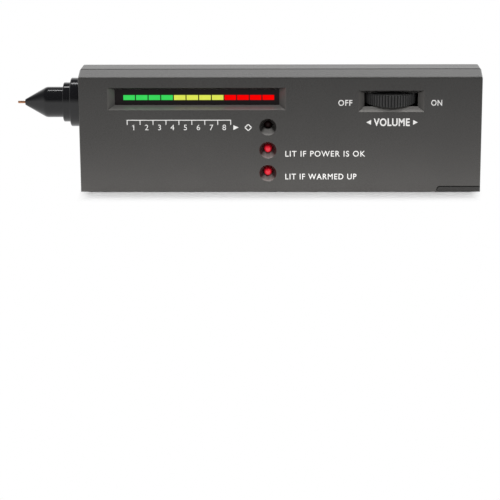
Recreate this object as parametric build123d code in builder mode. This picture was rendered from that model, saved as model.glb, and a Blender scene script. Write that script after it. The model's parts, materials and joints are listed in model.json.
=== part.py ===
"""A pocket thermal gem tester: a flat moulded case with a sprung copper probe,
a twelve segment light bar, three lamps, a thumb dial and a sliding battery door.

Millimetres. X runs along the case with the probe at -X, Y runs from the front
face (-Y) to the back face (+Y), and Z is up. The origin is at the middle of the
case's bottom, and the two shells meet just behind it.
"""

import os
from math import pi

from build123d import *

os.makedirs("parts", exist_ok=True)

# Case
case_length = 152.6
case_depth = 22.6
case_height = 45.2
wall = 2.0
end_draft = 0.35
top_draft = 0.5
edge_radius = 0.8
seam_setback = 0.8
seam_chamfer = 0.3
lip_thickness = 0.9
lip_height = 1.2

# Clearances, and the overrun of a cutting tool past the face it opens
fit_gap = 0.1
slide_gap = 0.2
thread_gap = 0.02
cut_over = 1.0

front_y = -case_depth / 2
back_y = case_depth / 2
seam_y = seam_setback
inner_front_y = front_y + wall
inner_back_y = back_y - wall
face_length = case_length - 2 * end_draft
face_height = case_height - top_draft
probe_end_x = -case_length / 2
door_end_x = case_length / 2
inner_end_x = face_length / 2 - wall
inner_top_z = face_height - wall
cavity_height = inner_top_z - wall
cavity_mid_z = (inner_top_z + wall) / 2

# Thumb dial and its sloped window
dial_thickness = 4.7
dial_proud = 0.8
dial_back_gap = 2.2
dial_knurl_pitch = 1.16
dial_knurl_radius = 0.38
dial_rim_chamfer = 0.35
dial_window_width = 20.1
dial_window_height = 5.2
dial_window_depth = 2.7
dial_slope_x = 2.3
dial_slope_z = 1.5
dial_inset = 34.45
dial_drop = 9.75
dial_front_y = front_y - dial_proud
dial_radius = (inner_back_y - dial_back_gap - dial_front_y) / 2
dial_knurls = round(2 * pi * dial_radius / dial_knurl_pitch)
dial_x = door_end_x - dial_inset
dial_y = dial_front_y + dial_radius
dial_z = case_height - dial_drop
dial_bottom_z = dial_z - dial_thickness / 2
dial_top_z = dial_z + dial_thickness / 2

# Light bar and its sloped window, which ends short of the dial's window
bar_window_height = 6.0
bar_window_depth = 3.0
bar_slope_x = 2.6
bar_slope_z = 1.3
bar_window_inset = 13.9
bar_window_drop = 8.8
window_spacing = 27.2
bar_window_left_x = probe_end_x + bar_window_inset
bar_window_right_x = dial_x - dial_window_width / 2 - dial_slope_x - window_spacing - bar_slope_x
bar_window_width = bar_window_right_x - bar_window_left_x
bar_window_x = (bar_window_left_x + bar_window_right_x) / 2
bar_window_z = case_height - bar_window_drop
bar_colours = ["green", "yellow", "red"]
bar_count = 12
bar_end_margin = 2.37
bar_gap = 0.38
bar_pitch = (bar_window_width - 2 * bar_end_margin) / bar_count
bar_width = bar_pitch - bar_gap
bar_height = 1.95
bar_thickness = 1.0
bar_proud = 0.05
bar_offset_x = 0.65
bar_offset_z = -0.15

# Lamps in their conical recesses
lamp_radius = 1.5
lamp_length = 5.3
lamp_flange_radius = 1.9
lamp_flange_length = 1.0
lamp_inset = 1.2
result_lamp_inset = 3.4
lamp_bore_radius = 1.6
lamp_recess_radius = 3.25
lamp_recess_depth = 3.4
lamp_tube_wall = 1.6
lamp_tube_length = 3.4
lamp_leg_width = 0.5
lamp_leg_pitch = 2.54
lamp_from_window = 4.3
lamp_below_window = 10.9
lamp_bottom_z = 7.5
lamp_x = bar_window_right_x - lamp_from_window
lamp_top_z = bar_window_z - lamp_below_window
lamp_count = 3
lamp_pitch = (lamp_top_z - lamp_bottom_z) / (lamp_count - 1)

# Battery: a rectangular nine volt block that fills the case between the main board and the door
battery_side_gap = 0.55
battery_end_gap = 0.15
battery_dial_gap = 2.7
battery_corner_radius = 2.2
battery_edge_radius = 0.5
snap_spacing = 12.7
snap_length = 2.6
snap_plate_thickness = 3.6
snap_plate_gap = 0.3
positive_snap_radius = 2.85
negative_snap_radius = 4.1
cradle_height = 1.9
cradle_thickness = 2.0
pad_thickness = 0.6
board_dial_space = 21.85
board_lead_space = 3.4
board_right_x = dial_x - board_dial_space
snap_left_x = board_right_x + board_lead_space
battery_left_x = snap_left_x + snap_plate_thickness + snap_plate_gap
battery_right_x = inner_end_x - pad_thickness - battery_end_gap
battery_length = battery_right_x - battery_left_x
battery_depth = 2 * (inner_back_y - battery_side_gap)
battery_bottom_z = wall + cradle_height
battery_top_z = dial_bottom_z - battery_dial_gap
battery_height = battery_top_z - battery_bottom_z
battery_mid_z = (battery_bottom_z + battery_top_z) / 2

# Battery door: a foot under the case and a panel that closes the end
door_foot_length = 16.6
door_foot_height = 2.1
door_foot_radius = 0.9
door_gap = 0.35
door_side_margin = 0.65
door_panel_width = battery_depth + 2 * door_side_margin - 2 * slide_gap
door_panel_top = battery_top_z + door_side_margin
door_foot_x = door_end_x - door_foot_length

# Probe: a flange, a stepped ring and a conical nose round a sprung pin
probe_drop = 12.6
probe_z = case_height - probe_drop
flange_radius = 9.25
flange_length = 3.8
flange_seat_depth = 0.4
ring_radius = 7.5
ring_length = 2.8
nose_radius = 5.8
nose_barrel_length = 6.6
nose_cone_length = 8.2
nose_end_radius = 1.1
nose_end_round = 0.3
nose_shoulder_radius = 3.0
spigot_radius = 4.8
spigot_end_reach = 6.4
nose_bore_radius = 4.0
tip_radius = 0.45
tip_reach = 2.8
tip_travel = 1.2

# Main circuit board
board_thickness = 1.6
board_standoff = 7.8
board_end_space = 7.95
board_edge_gap = 0.2
board_floor_gap = 1.0
board_notch_x = 5.0
board_notch_z = 9.0
board_front_y = inner_front_y + board_standoff
board_back_y = board_front_y + board_thickness
board_left_x = -inner_end_x + board_end_space
board_bottom_z = wall + board_floor_gap
board_top_z = inner_top_z - board_edge_gap

# Case screws: distance from the nearest end, and from the bottom or the top
lower_screw_inset = 9.5
lower_screw_rise = 6.6
upper_screw_inset = 14.4
upper_screw_drop = 6.4
case_screw_radius = 1.3
case_head_radius = 2.25
case_head_height = 1.6
screw_well_radius = 2.75
screw_well_depth = 2.4
screw_boss_radius = 4.0
screw_blind_floor = 2.3
screw_end_gap = 1.5
case_screw_length = back_y - screw_well_depth - inner_front_y - screw_blind_floor - screw_end_gap
case_screw_places = [
    (probe_end_x + lower_screw_inset, lower_screw_rise),
    (door_end_x - upper_screw_inset, case_height - upper_screw_drop),
]

# Touch plate: a right triangle let into the back face
plate_corner_inset = 15.8
plate_edge_margin = 5.5
plate_leg_x = 57.2
plate_leg_z = face_height - 2 * plate_edge_margin
plate_thickness = 0.8
plate_gap = 0.35
plate_recess_depth = 0.85
plate_chamfer = 0.3
plate_x = probe_end_x + plate_corner_inset
plate_z = plate_edge_margin
contact_inset_x = 15.5
contact_inset_z = 5.5
contact_radius = 1.2
contact_foot_radius = 2.0
contact_foot_height = 0.8
contact_x = plate_x + contact_inset_x
contact_z = plate_z + contact_inset_z

# Piezo buzzer behind its sound holes, one in the middle and a ring of others
sound_inset = 63.1
sound_drop = 17.1
sound_hole_radius = 1.15
sound_pitch = 5.75
sound_outer_holes = 4
buzzer_radius = 10.0
buzzer_ring_width = 1.8
buzzer_ring_thickness = 0.3
buzzer_disc_thickness = 0.25
ceramic_radius = 6.5
ceramic_thickness = 0.2
sound_x = probe_end_x + sound_inset
sound_z = case_height - sound_drop

probe_axis = Axis((probe_end_x, 0, probe_z), (-1, 0, 0))
probe_plane = Plane(origin=(probe_end_x, 0, probe_z), x_dir=(-1, 0, 0), z_dir=(0, 1, 0))


def upright(y):
    """A plane parallel to the case's faces at depth y; extrusions go to the front."""
    return Plane.XZ.offset(-y)


def case_half(side, grooved):
    """One half of the case's outside: side -1 is the front half and 1 the back half.

    Two prisms cross: one has the half's outline from above, the other its outline from the end.
    """
    with BuildPart() as groove:
        with BuildSketch(upright(seam_y)):
            with Locations((0, case_height / 2)):
                Rectangle(case_length + 2 * cut_over, case_height + 2 * cut_over)
        extrude(amount=-side * seam_chamfer)
        with BuildSketch(upright(seam_y)):
            with Locations((0, case_height - seam_chamfer)):
                Rectangle(case_length - 2 * seam_chamfer, case_height + 2 * cut_over,
                          align=(Align.CENTER, Align.MAX))
        with BuildSketch(upright(seam_y + side * seam_chamfer)):
            with Locations((0, case_height)):
                Rectangle(case_length, case_height + 2 * cut_over, align=(Align.CENTER, Align.MAX))
        loft(mode=Mode.SUBTRACT)
    face_y = side * case_depth / 2
    with BuildPart() as half:
        with BuildSketch(Plane.XY):
            with BuildLine():
                Polyline(
                    (-case_length / 2, seam_y),
                    (case_length / 2, seam_y),
                    (face_length / 2, face_y),
                    (-face_length / 2, face_y),
                    close=True,
                )
            make_face()
        extrude(amount=case_height)
        with BuildSketch(Plane.YZ.offset(-case_length / 2)):
            with BuildLine():
                Polyline(
                    (seam_y, 0),
                    (face_y, 0),
                    (face_y, face_height),
                    (seam_y, case_height),
                    close=True,
                )
            make_face()
        extrude(amount=case_length, mode=Mode.INTERSECT)
        face = half.faces().sort_by(Axis.Y)[0 if side < 0 else -1]
        corners = half.edges() - half.faces().filter_by(Axis.Y).edges()
        fillet(face.edges() + corners.group_by(Axis.Z)[-1], edge_radius)
        if grooved:
            add(groove.part, mode=Mode.SUBTRACT)
    return half.part


def sloped_window(x, z, width, height, depth, slope_x, slope_z):
    """The opening of a window whose four sides slope inwards from the front face."""
    with BuildPart() as opening:
        with BuildSketch(upright(front_y)):
            with Locations((x, z)):
                Rectangle(width + 2 * slope_x, height + 2 * slope_z)
        with BuildSketch(upright(front_y + depth)):
            with Locations((x, z)):
                Rectangle(width, height)
        loft()
    return opening.part


def bent_wire(points, bend, radius):
    """A round wire along straight runs that are joined by tangent bends."""
    with BuildPart() as wire:
        with BuildLine() as route:
            FilletPolyline(*points, radius=bend)
        with BuildSketch(Plane(origin=route.line @ 0, z_dir=route.line % 0)):
            Circle(radius)
        sweep()
    return wire.part


slot_width_share = 0.25
slot_length_share = 1.3
head_round_share = 0.33


def cross_screw(x, z, head_y, head_radius, head_height, shank_radius, shank_length):
    """A cross-head screw that enters from the back; head_y is the underside of its head."""
    slot_width = head_radius * slot_width_share
    slot_length = head_radius * slot_length_share
    with BuildPart() as screw:
        with BuildSketch(upright(head_y + head_height)):
            with Locations((x, z)):
                Circle(head_radius)
        extrude(amount=head_height)
        fillet(screw.edges().sort_by(Axis.Y)[-1], head_height * head_round_share)
        with BuildSketch(upright(head_y + head_height)):
            with Locations((x, z)):
                Rectangle(slot_length, slot_width)
                Rectangle(slot_width, slot_length)
        extrude(amount=head_height / 2, mode=Mode.SUBTRACT)
        with BuildSketch(upright(head_y)):
            with Locations((x, z)):
                Circle(shank_radius)
        extrude(amount=shank_length)
        chamfer(screw.edges().sort_by(Axis.Y)[0], shank_radius / 2)
    return screw.part


# Shapes that the shells share
front_half = case_half(-1, grooved=True)
back_half = case_half(1, grooved=True)
bar_opening = sloped_window(
    bar_window_x, bar_window_z, bar_window_width, bar_window_height,
    bar_window_depth, bar_slope_x, bar_slope_z,
)
dial_opening = sloped_window(
    dial_x, dial_z, dial_window_width, dial_window_height,
    dial_window_depth, dial_slope_x, dial_slope_z,
)

# The hole and the flat seat for the probe in the end wall
with BuildPart() as probe_hole:
    with BuildSketch(probe_plane):
        with Locations((-flange_seat_depth, 0)):
            Rectangle(flange_seat_depth + cut_over, flange_radius + fit_gap, align=(Align.MIN, Align.MIN))
        Rectangle(wall + end_draft + cut_over, spigot_radius + fit_gap, align=(Align.MAX, Align.MIN))
    revolve(axis=probe_axis)

# The way that the battery door takes up: under the foot, through the end, and in the rail grooves
rail_thickness = 0.7
rail_height = 1.6
rail_lip_reach = 0.8
rail_lip_height = 0.6
rail_lip_rise = 0.9
rail_start_gap = 0.5
panel_half = door_panel_width / 2
rail_start_x = door_foot_x + rail_start_gap
rail_lip_z = door_foot_height + rail_lip_rise
with BuildPart() as door_way:
    with BuildSketch(Plane.XY):
        with Locations((door_foot_x - door_gap, 0)):
            Rectangle(door_foot_length + door_gap + cut_over, case_depth + 2 * cut_over,
                      align=(Align.MIN, Align.CENTER))
    extrude(amount=door_foot_height + door_gap)
    fillet(door_way.edges().filter_by(Axis.Y).group_by(Axis.X)[0].sort_by(Axis.Z)[-1],
           door_foot_radius + door_gap)
    with BuildSketch(Plane.XY):
        with Locations((inner_end_x - fit_gap, 0)):
            Rectangle(wall + 2 * end_draft + cut_over, door_panel_width + 2 * slide_gap,
                      align=(Align.MIN, Align.CENTER))
    extrude(amount=door_panel_top + slide_gap)
    with BuildSketch(Plane.XY.offset(rail_lip_z - fit_gap)):
        with Locations((rail_start_x - slide_gap, 0)):
            Rectangle(door_end_x - rail_start_x + slide_gap + cut_over,
                      door_panel_width + 2 * (rail_lip_reach + fit_gap),
                      align=(Align.MIN, Align.CENTER))
    extrude(amount=rail_lip_height + 2 * fit_gap)

# Where the battery cradle ribs stand, as shares of the battery's length
cradle_shares = [0.13, 0.58]
cradle_side_thickness = inner_back_y - battery_depth / 2 - fit_gap
cradle_ceiling_height = 1.2
cradle_ceiling_reach = battery_depth / 2
battery_stop_depth = 2.2
battery_stop_thickness = 1.4
battery_stop_height = battery_height / 2


def cradle_ribs(side):
    """Ribs of one shell that hold the battery from below, above, beside and at its snap end."""
    floor_depth = inner_back_y - side * seam_y
    floor_y = side * (inner_back_y - floor_depth / 2)
    with BuildPart() as ribs:
        for share in cradle_shares:
            rib_x = battery_left_x + share * battery_length
            with BuildSketch(Plane.XY.offset(wall)):
                with Locations((rib_x, floor_y)):
                    Rectangle(cradle_thickness, floor_depth)
            extrude(amount=cradle_height)
            with BuildSketch(Plane.XY.offset(wall)):
                with Locations((rib_x, side * (inner_back_y - cradle_side_thickness / 2))):
                    Rectangle(cradle_thickness, cradle_side_thickness)
            extrude(amount=battery_top_z - wall + cradle_ceiling_height + fit_gap)
            with BuildSketch(Plane.XY.offset(battery_top_z + fit_gap)):
                with Locations((rib_x, side * (inner_back_y - cradle_ceiling_reach / 2))):
                    Rectangle(cradle_thickness, cradle_ceiling_reach)
            extrude(amount=cradle_ceiling_height)
        with BuildSketch(Plane.XY.offset(battery_mid_z - battery_stop_height / 2)):
            with Locations((battery_left_x - battery_stop_thickness / 2 - fit_gap,
                            side * (inner_back_y - battery_stop_depth / 2))):
                Rectangle(battery_stop_thickness, battery_stop_depth)
        extrude(amount=battery_stop_height)
    return ribs.part


# Small board that carries the dial's potentiometer, held in slots near the top
dial_board_length = 22.0
dial_board_thickness = 1.6
dial_board_top_gap = 0.1
dial_board_front_gap = 2.3
dial_board_back_gap = 0.8
dial_ledge_width = 2.0
dial_ledge_height = 1.0
dial_ledge_reach = 3.8
dial_ledge_offset = 8.0
dial_board_top_z = inner_top_z - dial_board_top_gap
dial_board_z = dial_board_top_z - dial_board_thickness
dial_board_front_y = inner_front_y + dial_board_front_gap
dial_board_back_y = inner_back_y - dial_board_back_gap


def dial_ledges(side):
    """Two ledges of one shell under the dial board's edge."""
    with BuildPart() as ledges:
        with BuildSketch(Plane.XY.offset(dial_board_z - dial_ledge_height)):
            with Locations(
                (dial_x - dial_ledge_offset, side * (inner_back_y - dial_ledge_reach / 2)),
                (dial_x + dial_ledge_offset, side * (inner_back_y - dial_ledge_reach / 2)),
            ):
                Rectangle(dial_ledge_width, dial_ledge_reach)
        extrude(amount=dial_ledge_height)
    return ledges.part


front_ribs = cradle_ribs(-1)
back_ribs = cradle_ribs(1)
front_ledges = dial_ledges(-1)
back_ledges = dial_ledges(1)

# Posts that carry the main board, with their distances from the board's edges
post_radius = 2.8
board_screw_radius = 0.95
board_screw_length = 6.0
board_head_radius = 1.9
board_head_height = 1.3
post_margin = 3.5
post_left_inset = 11.0
post_left_rise = 5.0
post_right_inset = 6.0
board_screw_places = [
    (board_right_x - post_right_inset, board_top_z - post_margin),
    (board_right_x - post_right_inset, board_bottom_z + post_margin),
    (board_left_x + post_left_inset, board_bottom_z + post_left_rise),
]

lamp_places = [(lamp_x, lamp_bottom_z + step * lamp_pitch) for step in range(lamp_count)]

# Front half of the case
with BuildPart() as front_shell:
    add(front_half)
    with BuildSketch(upright(seam_y)):
        with Locations((0, cavity_mid_z)):
            Rectangle(2 * inner_end_x, cavity_height)
    extrude(amount=seam_y - inner_front_y, mode=Mode.SUBTRACT)
    with BuildSketch(upright(seam_y + lip_height)):
        with Locations((0, cavity_mid_z)):
            Rectangle(2 * (inner_end_x + lip_thickness), cavity_height + 2 * lip_thickness)
            Rectangle(2 * inner_end_x, cavity_height, mode=Mode.SUBTRACT)
    extrude(amount=lip_height)
    with BuildSketch(upright(front_y + bar_window_depth)):
        with Locations((bar_window_x, bar_window_z)):
            Rectangle(bar_window_width + 2 * bar_slope_x, bar_window_height + 2 * bar_slope_z)
    extrude(amount=bar_window_depth - wall)
    with BuildSketch(upright(front_y + dial_window_depth)):
        with Locations((dial_x, dial_z)):
            Rectangle(dial_window_width + 2 * dial_slope_x, dial_window_height + 2 * dial_slope_z)
    extrude(amount=dial_window_depth - wall)
    with BuildSketch(upright(inner_front_y + lamp_tube_length)):
        with Locations(*lamp_places):
            Circle(lamp_bore_radius + lamp_tube_wall)
    extrude(amount=lamp_tube_length)
    with BuildSketch(upright(seam_y)):
        with Locations(*case_screw_places):
            Circle(screw_boss_radius)
    extrude(amount=seam_y - inner_front_y)
    with BuildSketch(upright(board_front_y)):
        with Locations(*board_screw_places):
            Circle(post_radius)
    extrude(amount=board_front_y - inner_front_y)
    add(front_ribs)
    add(front_ledges)
    add(bar_opening, mode=Mode.SUBTRACT)
    add(dial_opening, mode=Mode.SUBTRACT)
    with BuildSketch(upright(inner_front_y + lamp_tube_length)):
        with Locations(*lamp_places):
            Circle(lamp_bore_radius)
    extrude(amount=lamp_tube_length + wall, mode=Mode.SUBTRACT)
    for lamp_place in lamp_places:
        with BuildSketch(upright(front_y + lamp_recess_depth)):
            with Locations(lamp_place):
                Circle(lamp_bore_radius)
        with BuildSketch(upright(front_y)):
            with Locations(lamp_place):
                Circle(lamp_recess_radius)
        loft(mode=Mode.SUBTRACT)
    with BuildSketch(upright(seam_y)):
        with Locations(*case_screw_places):
            Circle(case_screw_radius + thread_gap)
    extrude(amount=seam_y - inner_front_y - screw_blind_floor, mode=Mode.SUBTRACT)
    with BuildSketch(upright(board_front_y)):
        with Locations(*board_screw_places):
            Circle(board_screw_radius + thread_gap)
    extrude(amount=board_screw_length, mode=Mode.SUBTRACT)
    add(probe_hole.part, mode=Mode.SUBTRACT)
    add(door_way.part, mode=Mode.SUBTRACT)
front_shell.part.label = "front_shell"
export_step(front_shell.part, "parts/front_shell.step")

# Outline of the touch plate's recess, with the right angle at the probe's lower corner
plate_outline = [
    (plate_x, plate_z),
    (plate_x + plate_leg_x, plate_z),
    (plate_x, plate_z + plate_leg_z),
]

# Back half of the case
with BuildPart() as back_shell:
    add(back_half)
    with BuildSketch(upright(inner_back_y)):
        with Locations((0, cavity_mid_z)):
            Rectangle(2 * inner_end_x, cavity_height)
    extrude(amount=inner_back_y - seam_y, mode=Mode.SUBTRACT)
    with BuildSketch(upright(inner_back_y)):
        with Locations(*case_screw_places):
            Circle(screw_boss_radius)
    extrude(amount=inner_back_y - seam_y)
    with BuildSketch(upright(seam_y + lip_height + fit_gap)):
        with Locations((0, cavity_mid_z)):
            Rectangle(2 * (inner_end_x + lip_thickness + fit_gap),
                      cavity_height + 2 * (lip_thickness + fit_gap))
            Rectangle(2 * inner_end_x, cavity_height, mode=Mode.SUBTRACT)
    extrude(amount=lip_height + fit_gap, mode=Mode.SUBTRACT)
    add(back_ribs)
    add(back_ledges)
    with BuildSketch(upright(back_y)):
        with Locations(*case_screw_places):
            Circle(screw_well_radius)
    extrude(amount=screw_well_depth, mode=Mode.SUBTRACT)
    with BuildSketch(upright(back_y)):
        with Locations(*case_screw_places):
            Circle(case_screw_radius + fit_gap)
    extrude(amount=back_y - seam_y, mode=Mode.SUBTRACT)
    with BuildSketch(upright(back_y)):
        with BuildLine():
            Polyline(*plate_outline, close=True)
        make_face()
    extrude(amount=plate_recess_depth, mode=Mode.SUBTRACT)
    with BuildSketch(upright(back_y)):
        with Locations((contact_x, contact_z)):
            Circle(contact_radius + fit_gap)
        with Locations((sound_x, sound_z)):
            Circle(sound_hole_radius)
            with PolarLocations(sound_pitch, sound_outer_holes):
                Circle(sound_hole_radius)
    extrude(amount=wall, mode=Mode.SUBTRACT)
    add(probe_hole.part, mode=Mode.SUBTRACT)
    add(door_way.part, mode=Mode.SUBTRACT)
back_shell.part.label = "back_shell"
export_step(back_shell.part, "parts/back_shell.step")

# Case screws
case_screw_solids = [
    cross_screw(x, z, back_y - screw_well_depth, case_head_radius, case_head_height,
                case_screw_radius, case_screw_length)
    for x, z in case_screw_places
]
with BuildPart() as case_screws:
    add(case_screw_solids)
case_screws.part.label = "case_screws"
export_step(case_screws.part, "parts/case_screws.step")

# Touch plate
with BuildPart() as touch_plate:
    with BuildSketch(upright(back_y - plate_recess_depth + plate_thickness)):
        with BuildLine():
            Polyline(*plate_outline, close=True)
        make_face()
        offset(amount=-plate_gap, kind=Kind.INTERSECTION, mode=Mode.REPLACE)
    extrude(amount=plate_thickness)
    chamfer(touch_plate.faces().sort_by(Axis.Y)[-1].edges(), plate_chamfer)
touch_plate.part.label = "touch_plate"
export_step(touch_plate.part, "parts/touch_plate.step")

# Contact post between the touch plate and the board
with BuildPart() as touch_contact:
    with BuildSketch(upright(back_y - plate_recess_depth)):
        with Locations((contact_x, contact_z)):
            Circle(contact_radius)
    extrude(amount=back_y - plate_recess_depth - board_back_y)
    with BuildSketch(upright(board_back_y + contact_foot_height)):
        with Locations((contact_x, contact_z)):
            Circle(contact_foot_radius)
    extrude(amount=contact_foot_height)
touch_contact.part.label = "touch_contact"
export_step(touch_contact.part, "parts/touch_contact.step")

# Main board, notched round the lower screw boss
with BuildPart() as main_board:
    with BuildSketch(upright(board_back_y)):
        with BuildLine():
            Polyline(
                (board_left_x + board_notch_x, board_bottom_z),
                (board_right_x, board_bottom_z),
                (board_right_x, board_top_z),
                (board_left_x, board_top_z),
                (board_left_x, board_bottom_z + board_notch_z),
                (board_left_x + board_notch_x, board_bottom_z + board_notch_z),
                close=True,
            )
        make_face()
        with Locations(*board_screw_places):
            Circle(board_screw_radius + fit_gap, mode=Mode.SUBTRACT)
    extrude(amount=board_thickness)
main_board.part.label = "main_board"
export_step(main_board.part, "parts/main_board.step")

# Board screws
board_screw_solids = [
    cross_screw(x, z, board_back_y, board_head_radius, board_head_height,
                board_screw_radius, board_screw_length)
    for x, z in board_screw_places
]
with BuildPart() as board_screws:
    add(board_screw_solids)
board_screws.part.label = "board_screws"
export_step(board_screws.part, "parts/board_screws.step")

# Light bar: a black housing on the board, with a pocket for each segment
housing_margin = 0.6
housing_gap = 0.05
housing_front_y = front_y + bar_window_depth + housing_gap
bar_z = bar_window_z + bar_offset_z
bar_x = bar_window_x + bar_offset_x
bar_centres = [bar_x + (step - (bar_count - 1) / 2) * bar_pitch for step in range(bar_count)]
with BuildPart() as bargraph_housing:
    with BuildSketch(upright(board_front_y)):
        with Locations((bar_window_x, bar_window_z)):
            Rectangle(bar_window_width + 2 * housing_margin, bar_window_height + 2 * housing_margin)
    extrude(amount=board_front_y - housing_front_y)
    with BuildSketch(upright(housing_front_y + bar_thickness)):
        with Locations(*[(centre, bar_z) for centre in bar_centres]):
            Rectangle(bar_width, bar_height)
    extrude(amount=bar_thickness, mode=Mode.SUBTRACT)
bargraph_housing.part.label = "bargraph_housing"
export_step(bargraph_housing.part, "parts/bargraph_housing.step")

# The segments, an equal run of them in each colour
bar_clearance = 0.03
bar_group_count = bar_count // len(bar_colours)
for group, colour in enumerate(bar_colours):
    group_centres = bar_centres[group * bar_group_count:(group + 1) * bar_group_count]
    with BuildPart() as segments:
        with BuildSketch(upright(housing_front_y + bar_thickness)):
            with Locations(*[(centre, bar_z) for centre in group_centres]):
                Rectangle(bar_width - 2 * bar_clearance, bar_height - 2 * bar_clearance)
        extrude(amount=bar_thickness + bar_proud)
    segments.part.label = "bargraph_" + colour
    export_step(segments.part, f"parts/bargraph_{colour}.step")

# Lamps from the bottom up, each a domed round body with a flange
lamp_names = ["ready_lamp", "battery_lamp", "result_lamp"]
lamp_insets = [lamp_inset, lamp_inset, result_lamp_inset]
for name, inset, (x, z) in zip(lamp_names, lamp_insets, lamp_places):
    base_y = front_y + inset + lamp_length
    with BuildPart() as lamp:
        with BuildSketch(upright(base_y)):
            with Locations((x, z)):
                Circle(lamp_flange_radius)
        extrude(amount=lamp_flange_length)
        with BuildSketch(upright(base_y)):
            with Locations((x, z)):
                Circle(lamp_radius)
        extrude(amount=lamp_length - lamp_radius)
        with Locations((x, base_y - lamp_length + lamp_radius, z)):
            Sphere(lamp_radius)
    lamp.part.label = name
    export_step(lamp.part, f"parts/{name}.step")

# Legs of the three lamps, down to the board
with BuildPart() as lamp_leads:
    for inset, (x, z) in zip(lamp_insets, lamp_places):
        with BuildSketch(upright(board_front_y)):
            with Locations((x, z)):
                with GridLocations(lamp_leg_pitch, 0, 2, 1):
                    Rectangle(lamp_leg_width, lamp_leg_width)
        extrude(amount=board_front_y - front_y - inset - lamp_length)
lamp_leads.part.label = "lamp_leads"
export_step(lamp_leads.part, "parts/lamp_leads.step")

# Driver chips: flat packages with two rows of bent legs
board_length = board_right_x - board_left_x
board_height = board_top_z - board_bottom_z
chip_leg_pitch = 2.54
chip_row_spacing = 7.62
chip_width = 6.4
chip_height = 3.3
chip_standoff = 0.6
chip_end_margin = 0.6
chip_leg_width = 0.5
chip_leg_thickness = 0.3
chip_leg_counts = [9, 7]
chip_places_share = [(0.33, 0.47), (0.33, 0.78)]
with BuildPart() as driver_chips:
    for legs, (share_x, share_z) in zip(chip_leg_counts, chip_places_share):
        chip_x = board_left_x + share_x * board_length
        chip_z = board_bottom_z + share_z * board_height
        leg_top_y = board_back_y + chip_standoff + chip_height / 2
        with BuildSketch(upright(board_back_y + chip_standoff + chip_height)):
            with Locations((chip_x, chip_z)):
                Rectangle((legs - 1) * chip_leg_pitch + 2 * chip_end_margin + chip_leg_width, chip_width)
        extrude(amount=chip_height)
        with BuildSketch(upright(leg_top_y)):
            with Locations((chip_x, chip_z)):
                with GridLocations(chip_leg_pitch, 0, legs, 1):
                    Rectangle(chip_leg_width, chip_row_spacing + chip_leg_thickness)
        extrude(amount=chip_leg_thickness)
        with BuildSketch(upright(leg_top_y)):
            with Locations((chip_x, chip_z)):
                with GridLocations(chip_leg_pitch, chip_row_spacing, legs, 2):
                    Rectangle(chip_leg_width, chip_leg_thickness)
        extrude(amount=leg_top_y - board_back_y)
driver_chips.part.label = "driver_chips"
export_step(driver_chips.part, "parts/driver_chips.step")

# Upright round capacitors
capacitor_radius = 2.5
capacitor_head_gap = 2.4
capacitor_height = inner_back_y - board_back_y - capacitor_head_gap
capacitor_rim = 0.3
capacitor_places_share = [(0.965, 0.64), (0.965, 0.36), (0.74, 0.86)]
with BuildPart() as capacitors:
    for share_x, share_z in capacitor_places_share:
        with BuildSketch(upright(board_back_y + capacitor_height)):
            with Locations((board_left_x + share_x * board_length,
                            board_bottom_z + share_z * board_height)):
                Circle(capacitor_radius)
        extrude(amount=capacitor_height)
    fillet(capacitors.edges().group_by(Axis.Y)[-1], capacitor_rim)
capacitors.part.label = "capacitors"
export_step(capacitors.part, "parts/capacitors.step")

# Resistors lying on the board, each with a wire through its body
resistor_radius = 0.9
resistor_length = 4.2
resistor_rise = 1.2
resistor_wire_radius = 0.25
resistor_span = 8.0
resistor_bend = 0.6
resistor_columns_share = [0.42, 0.80]
resistor_rows_share = [0.08, 0.15, 0.22]
resistor_places_share = [
    (share_x, share_z) for share_x in resistor_columns_share for share_z in resistor_rows_share
]
resistor_solids = []
for share_x, share_z in resistor_places_share:
    x = board_left_x + share_x * board_length
    z = board_bottom_z + share_z * board_height
    wire = bent_wire(
        [
            (x - resistor_span / 2, board_back_y, z),
            (x - resistor_span / 2, board_back_y + resistor_rise, z),
            (x + resistor_span / 2, board_back_y + resistor_rise, z),
            (x + resistor_span / 2, board_back_y, z),
        ],
        resistor_bend, resistor_wire_radius,
    )
    with BuildPart() as resistor:
        add(wire)
        body_start = (x - resistor_length / 2, board_back_y + resistor_rise, z)
        with BuildSketch(Plane(origin=body_start, z_dir=(1, 0, 0))):
            Circle(resistor_radius)
        extrude(amount=resistor_length)
    resistor_solids.append(resistor.part)
with BuildPart() as resistors:
    add(resistor_solids)
resistors.part.label = "resistors"
export_step(resistors.part, "parts/resistors.step")

# Piezo buzzer: a mounting ring on the wall, a brass disc and its ceramic
disc_back_y = inner_back_y - buzzer_ring_thickness
disc_front_y = disc_back_y - buzzer_disc_thickness
ceramic_front_y = disc_front_y - ceramic_thickness
with BuildPart() as buzzer_ring:
    with BuildSketch(upright(inner_back_y)):
        with Locations((sound_x, sound_z)):
            Circle(buzzer_radius)
            Circle(buzzer_radius - buzzer_ring_width, mode=Mode.SUBTRACT)
    extrude(amount=buzzer_ring_thickness)
buzzer_ring.part.label = "buzzer_ring"
export_step(buzzer_ring.part, "parts/buzzer_ring.step")

with BuildPart() as buzzer_disc:
    with BuildSketch(upright(disc_back_y)):
        with Locations((sound_x, sound_z)):
            Circle(buzzer_radius)
    extrude(amount=buzzer_disc_thickness)
buzzer_disc.part.label = "buzzer_disc"
export_step(buzzer_disc.part, "parts/buzzer_disc.step")

with BuildPart() as buzzer_ceramic:
    with BuildSketch(upright(disc_front_y)):
        with Locations((sound_x, sound_z)):
            Circle(ceramic_radius)
    extrude(amount=ceramic_thickness)
buzzer_ceramic.part.label = "buzzer_ceramic"
export_step(buzzer_ceramic.part, "parts/buzzer_ceramic.step")

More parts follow.
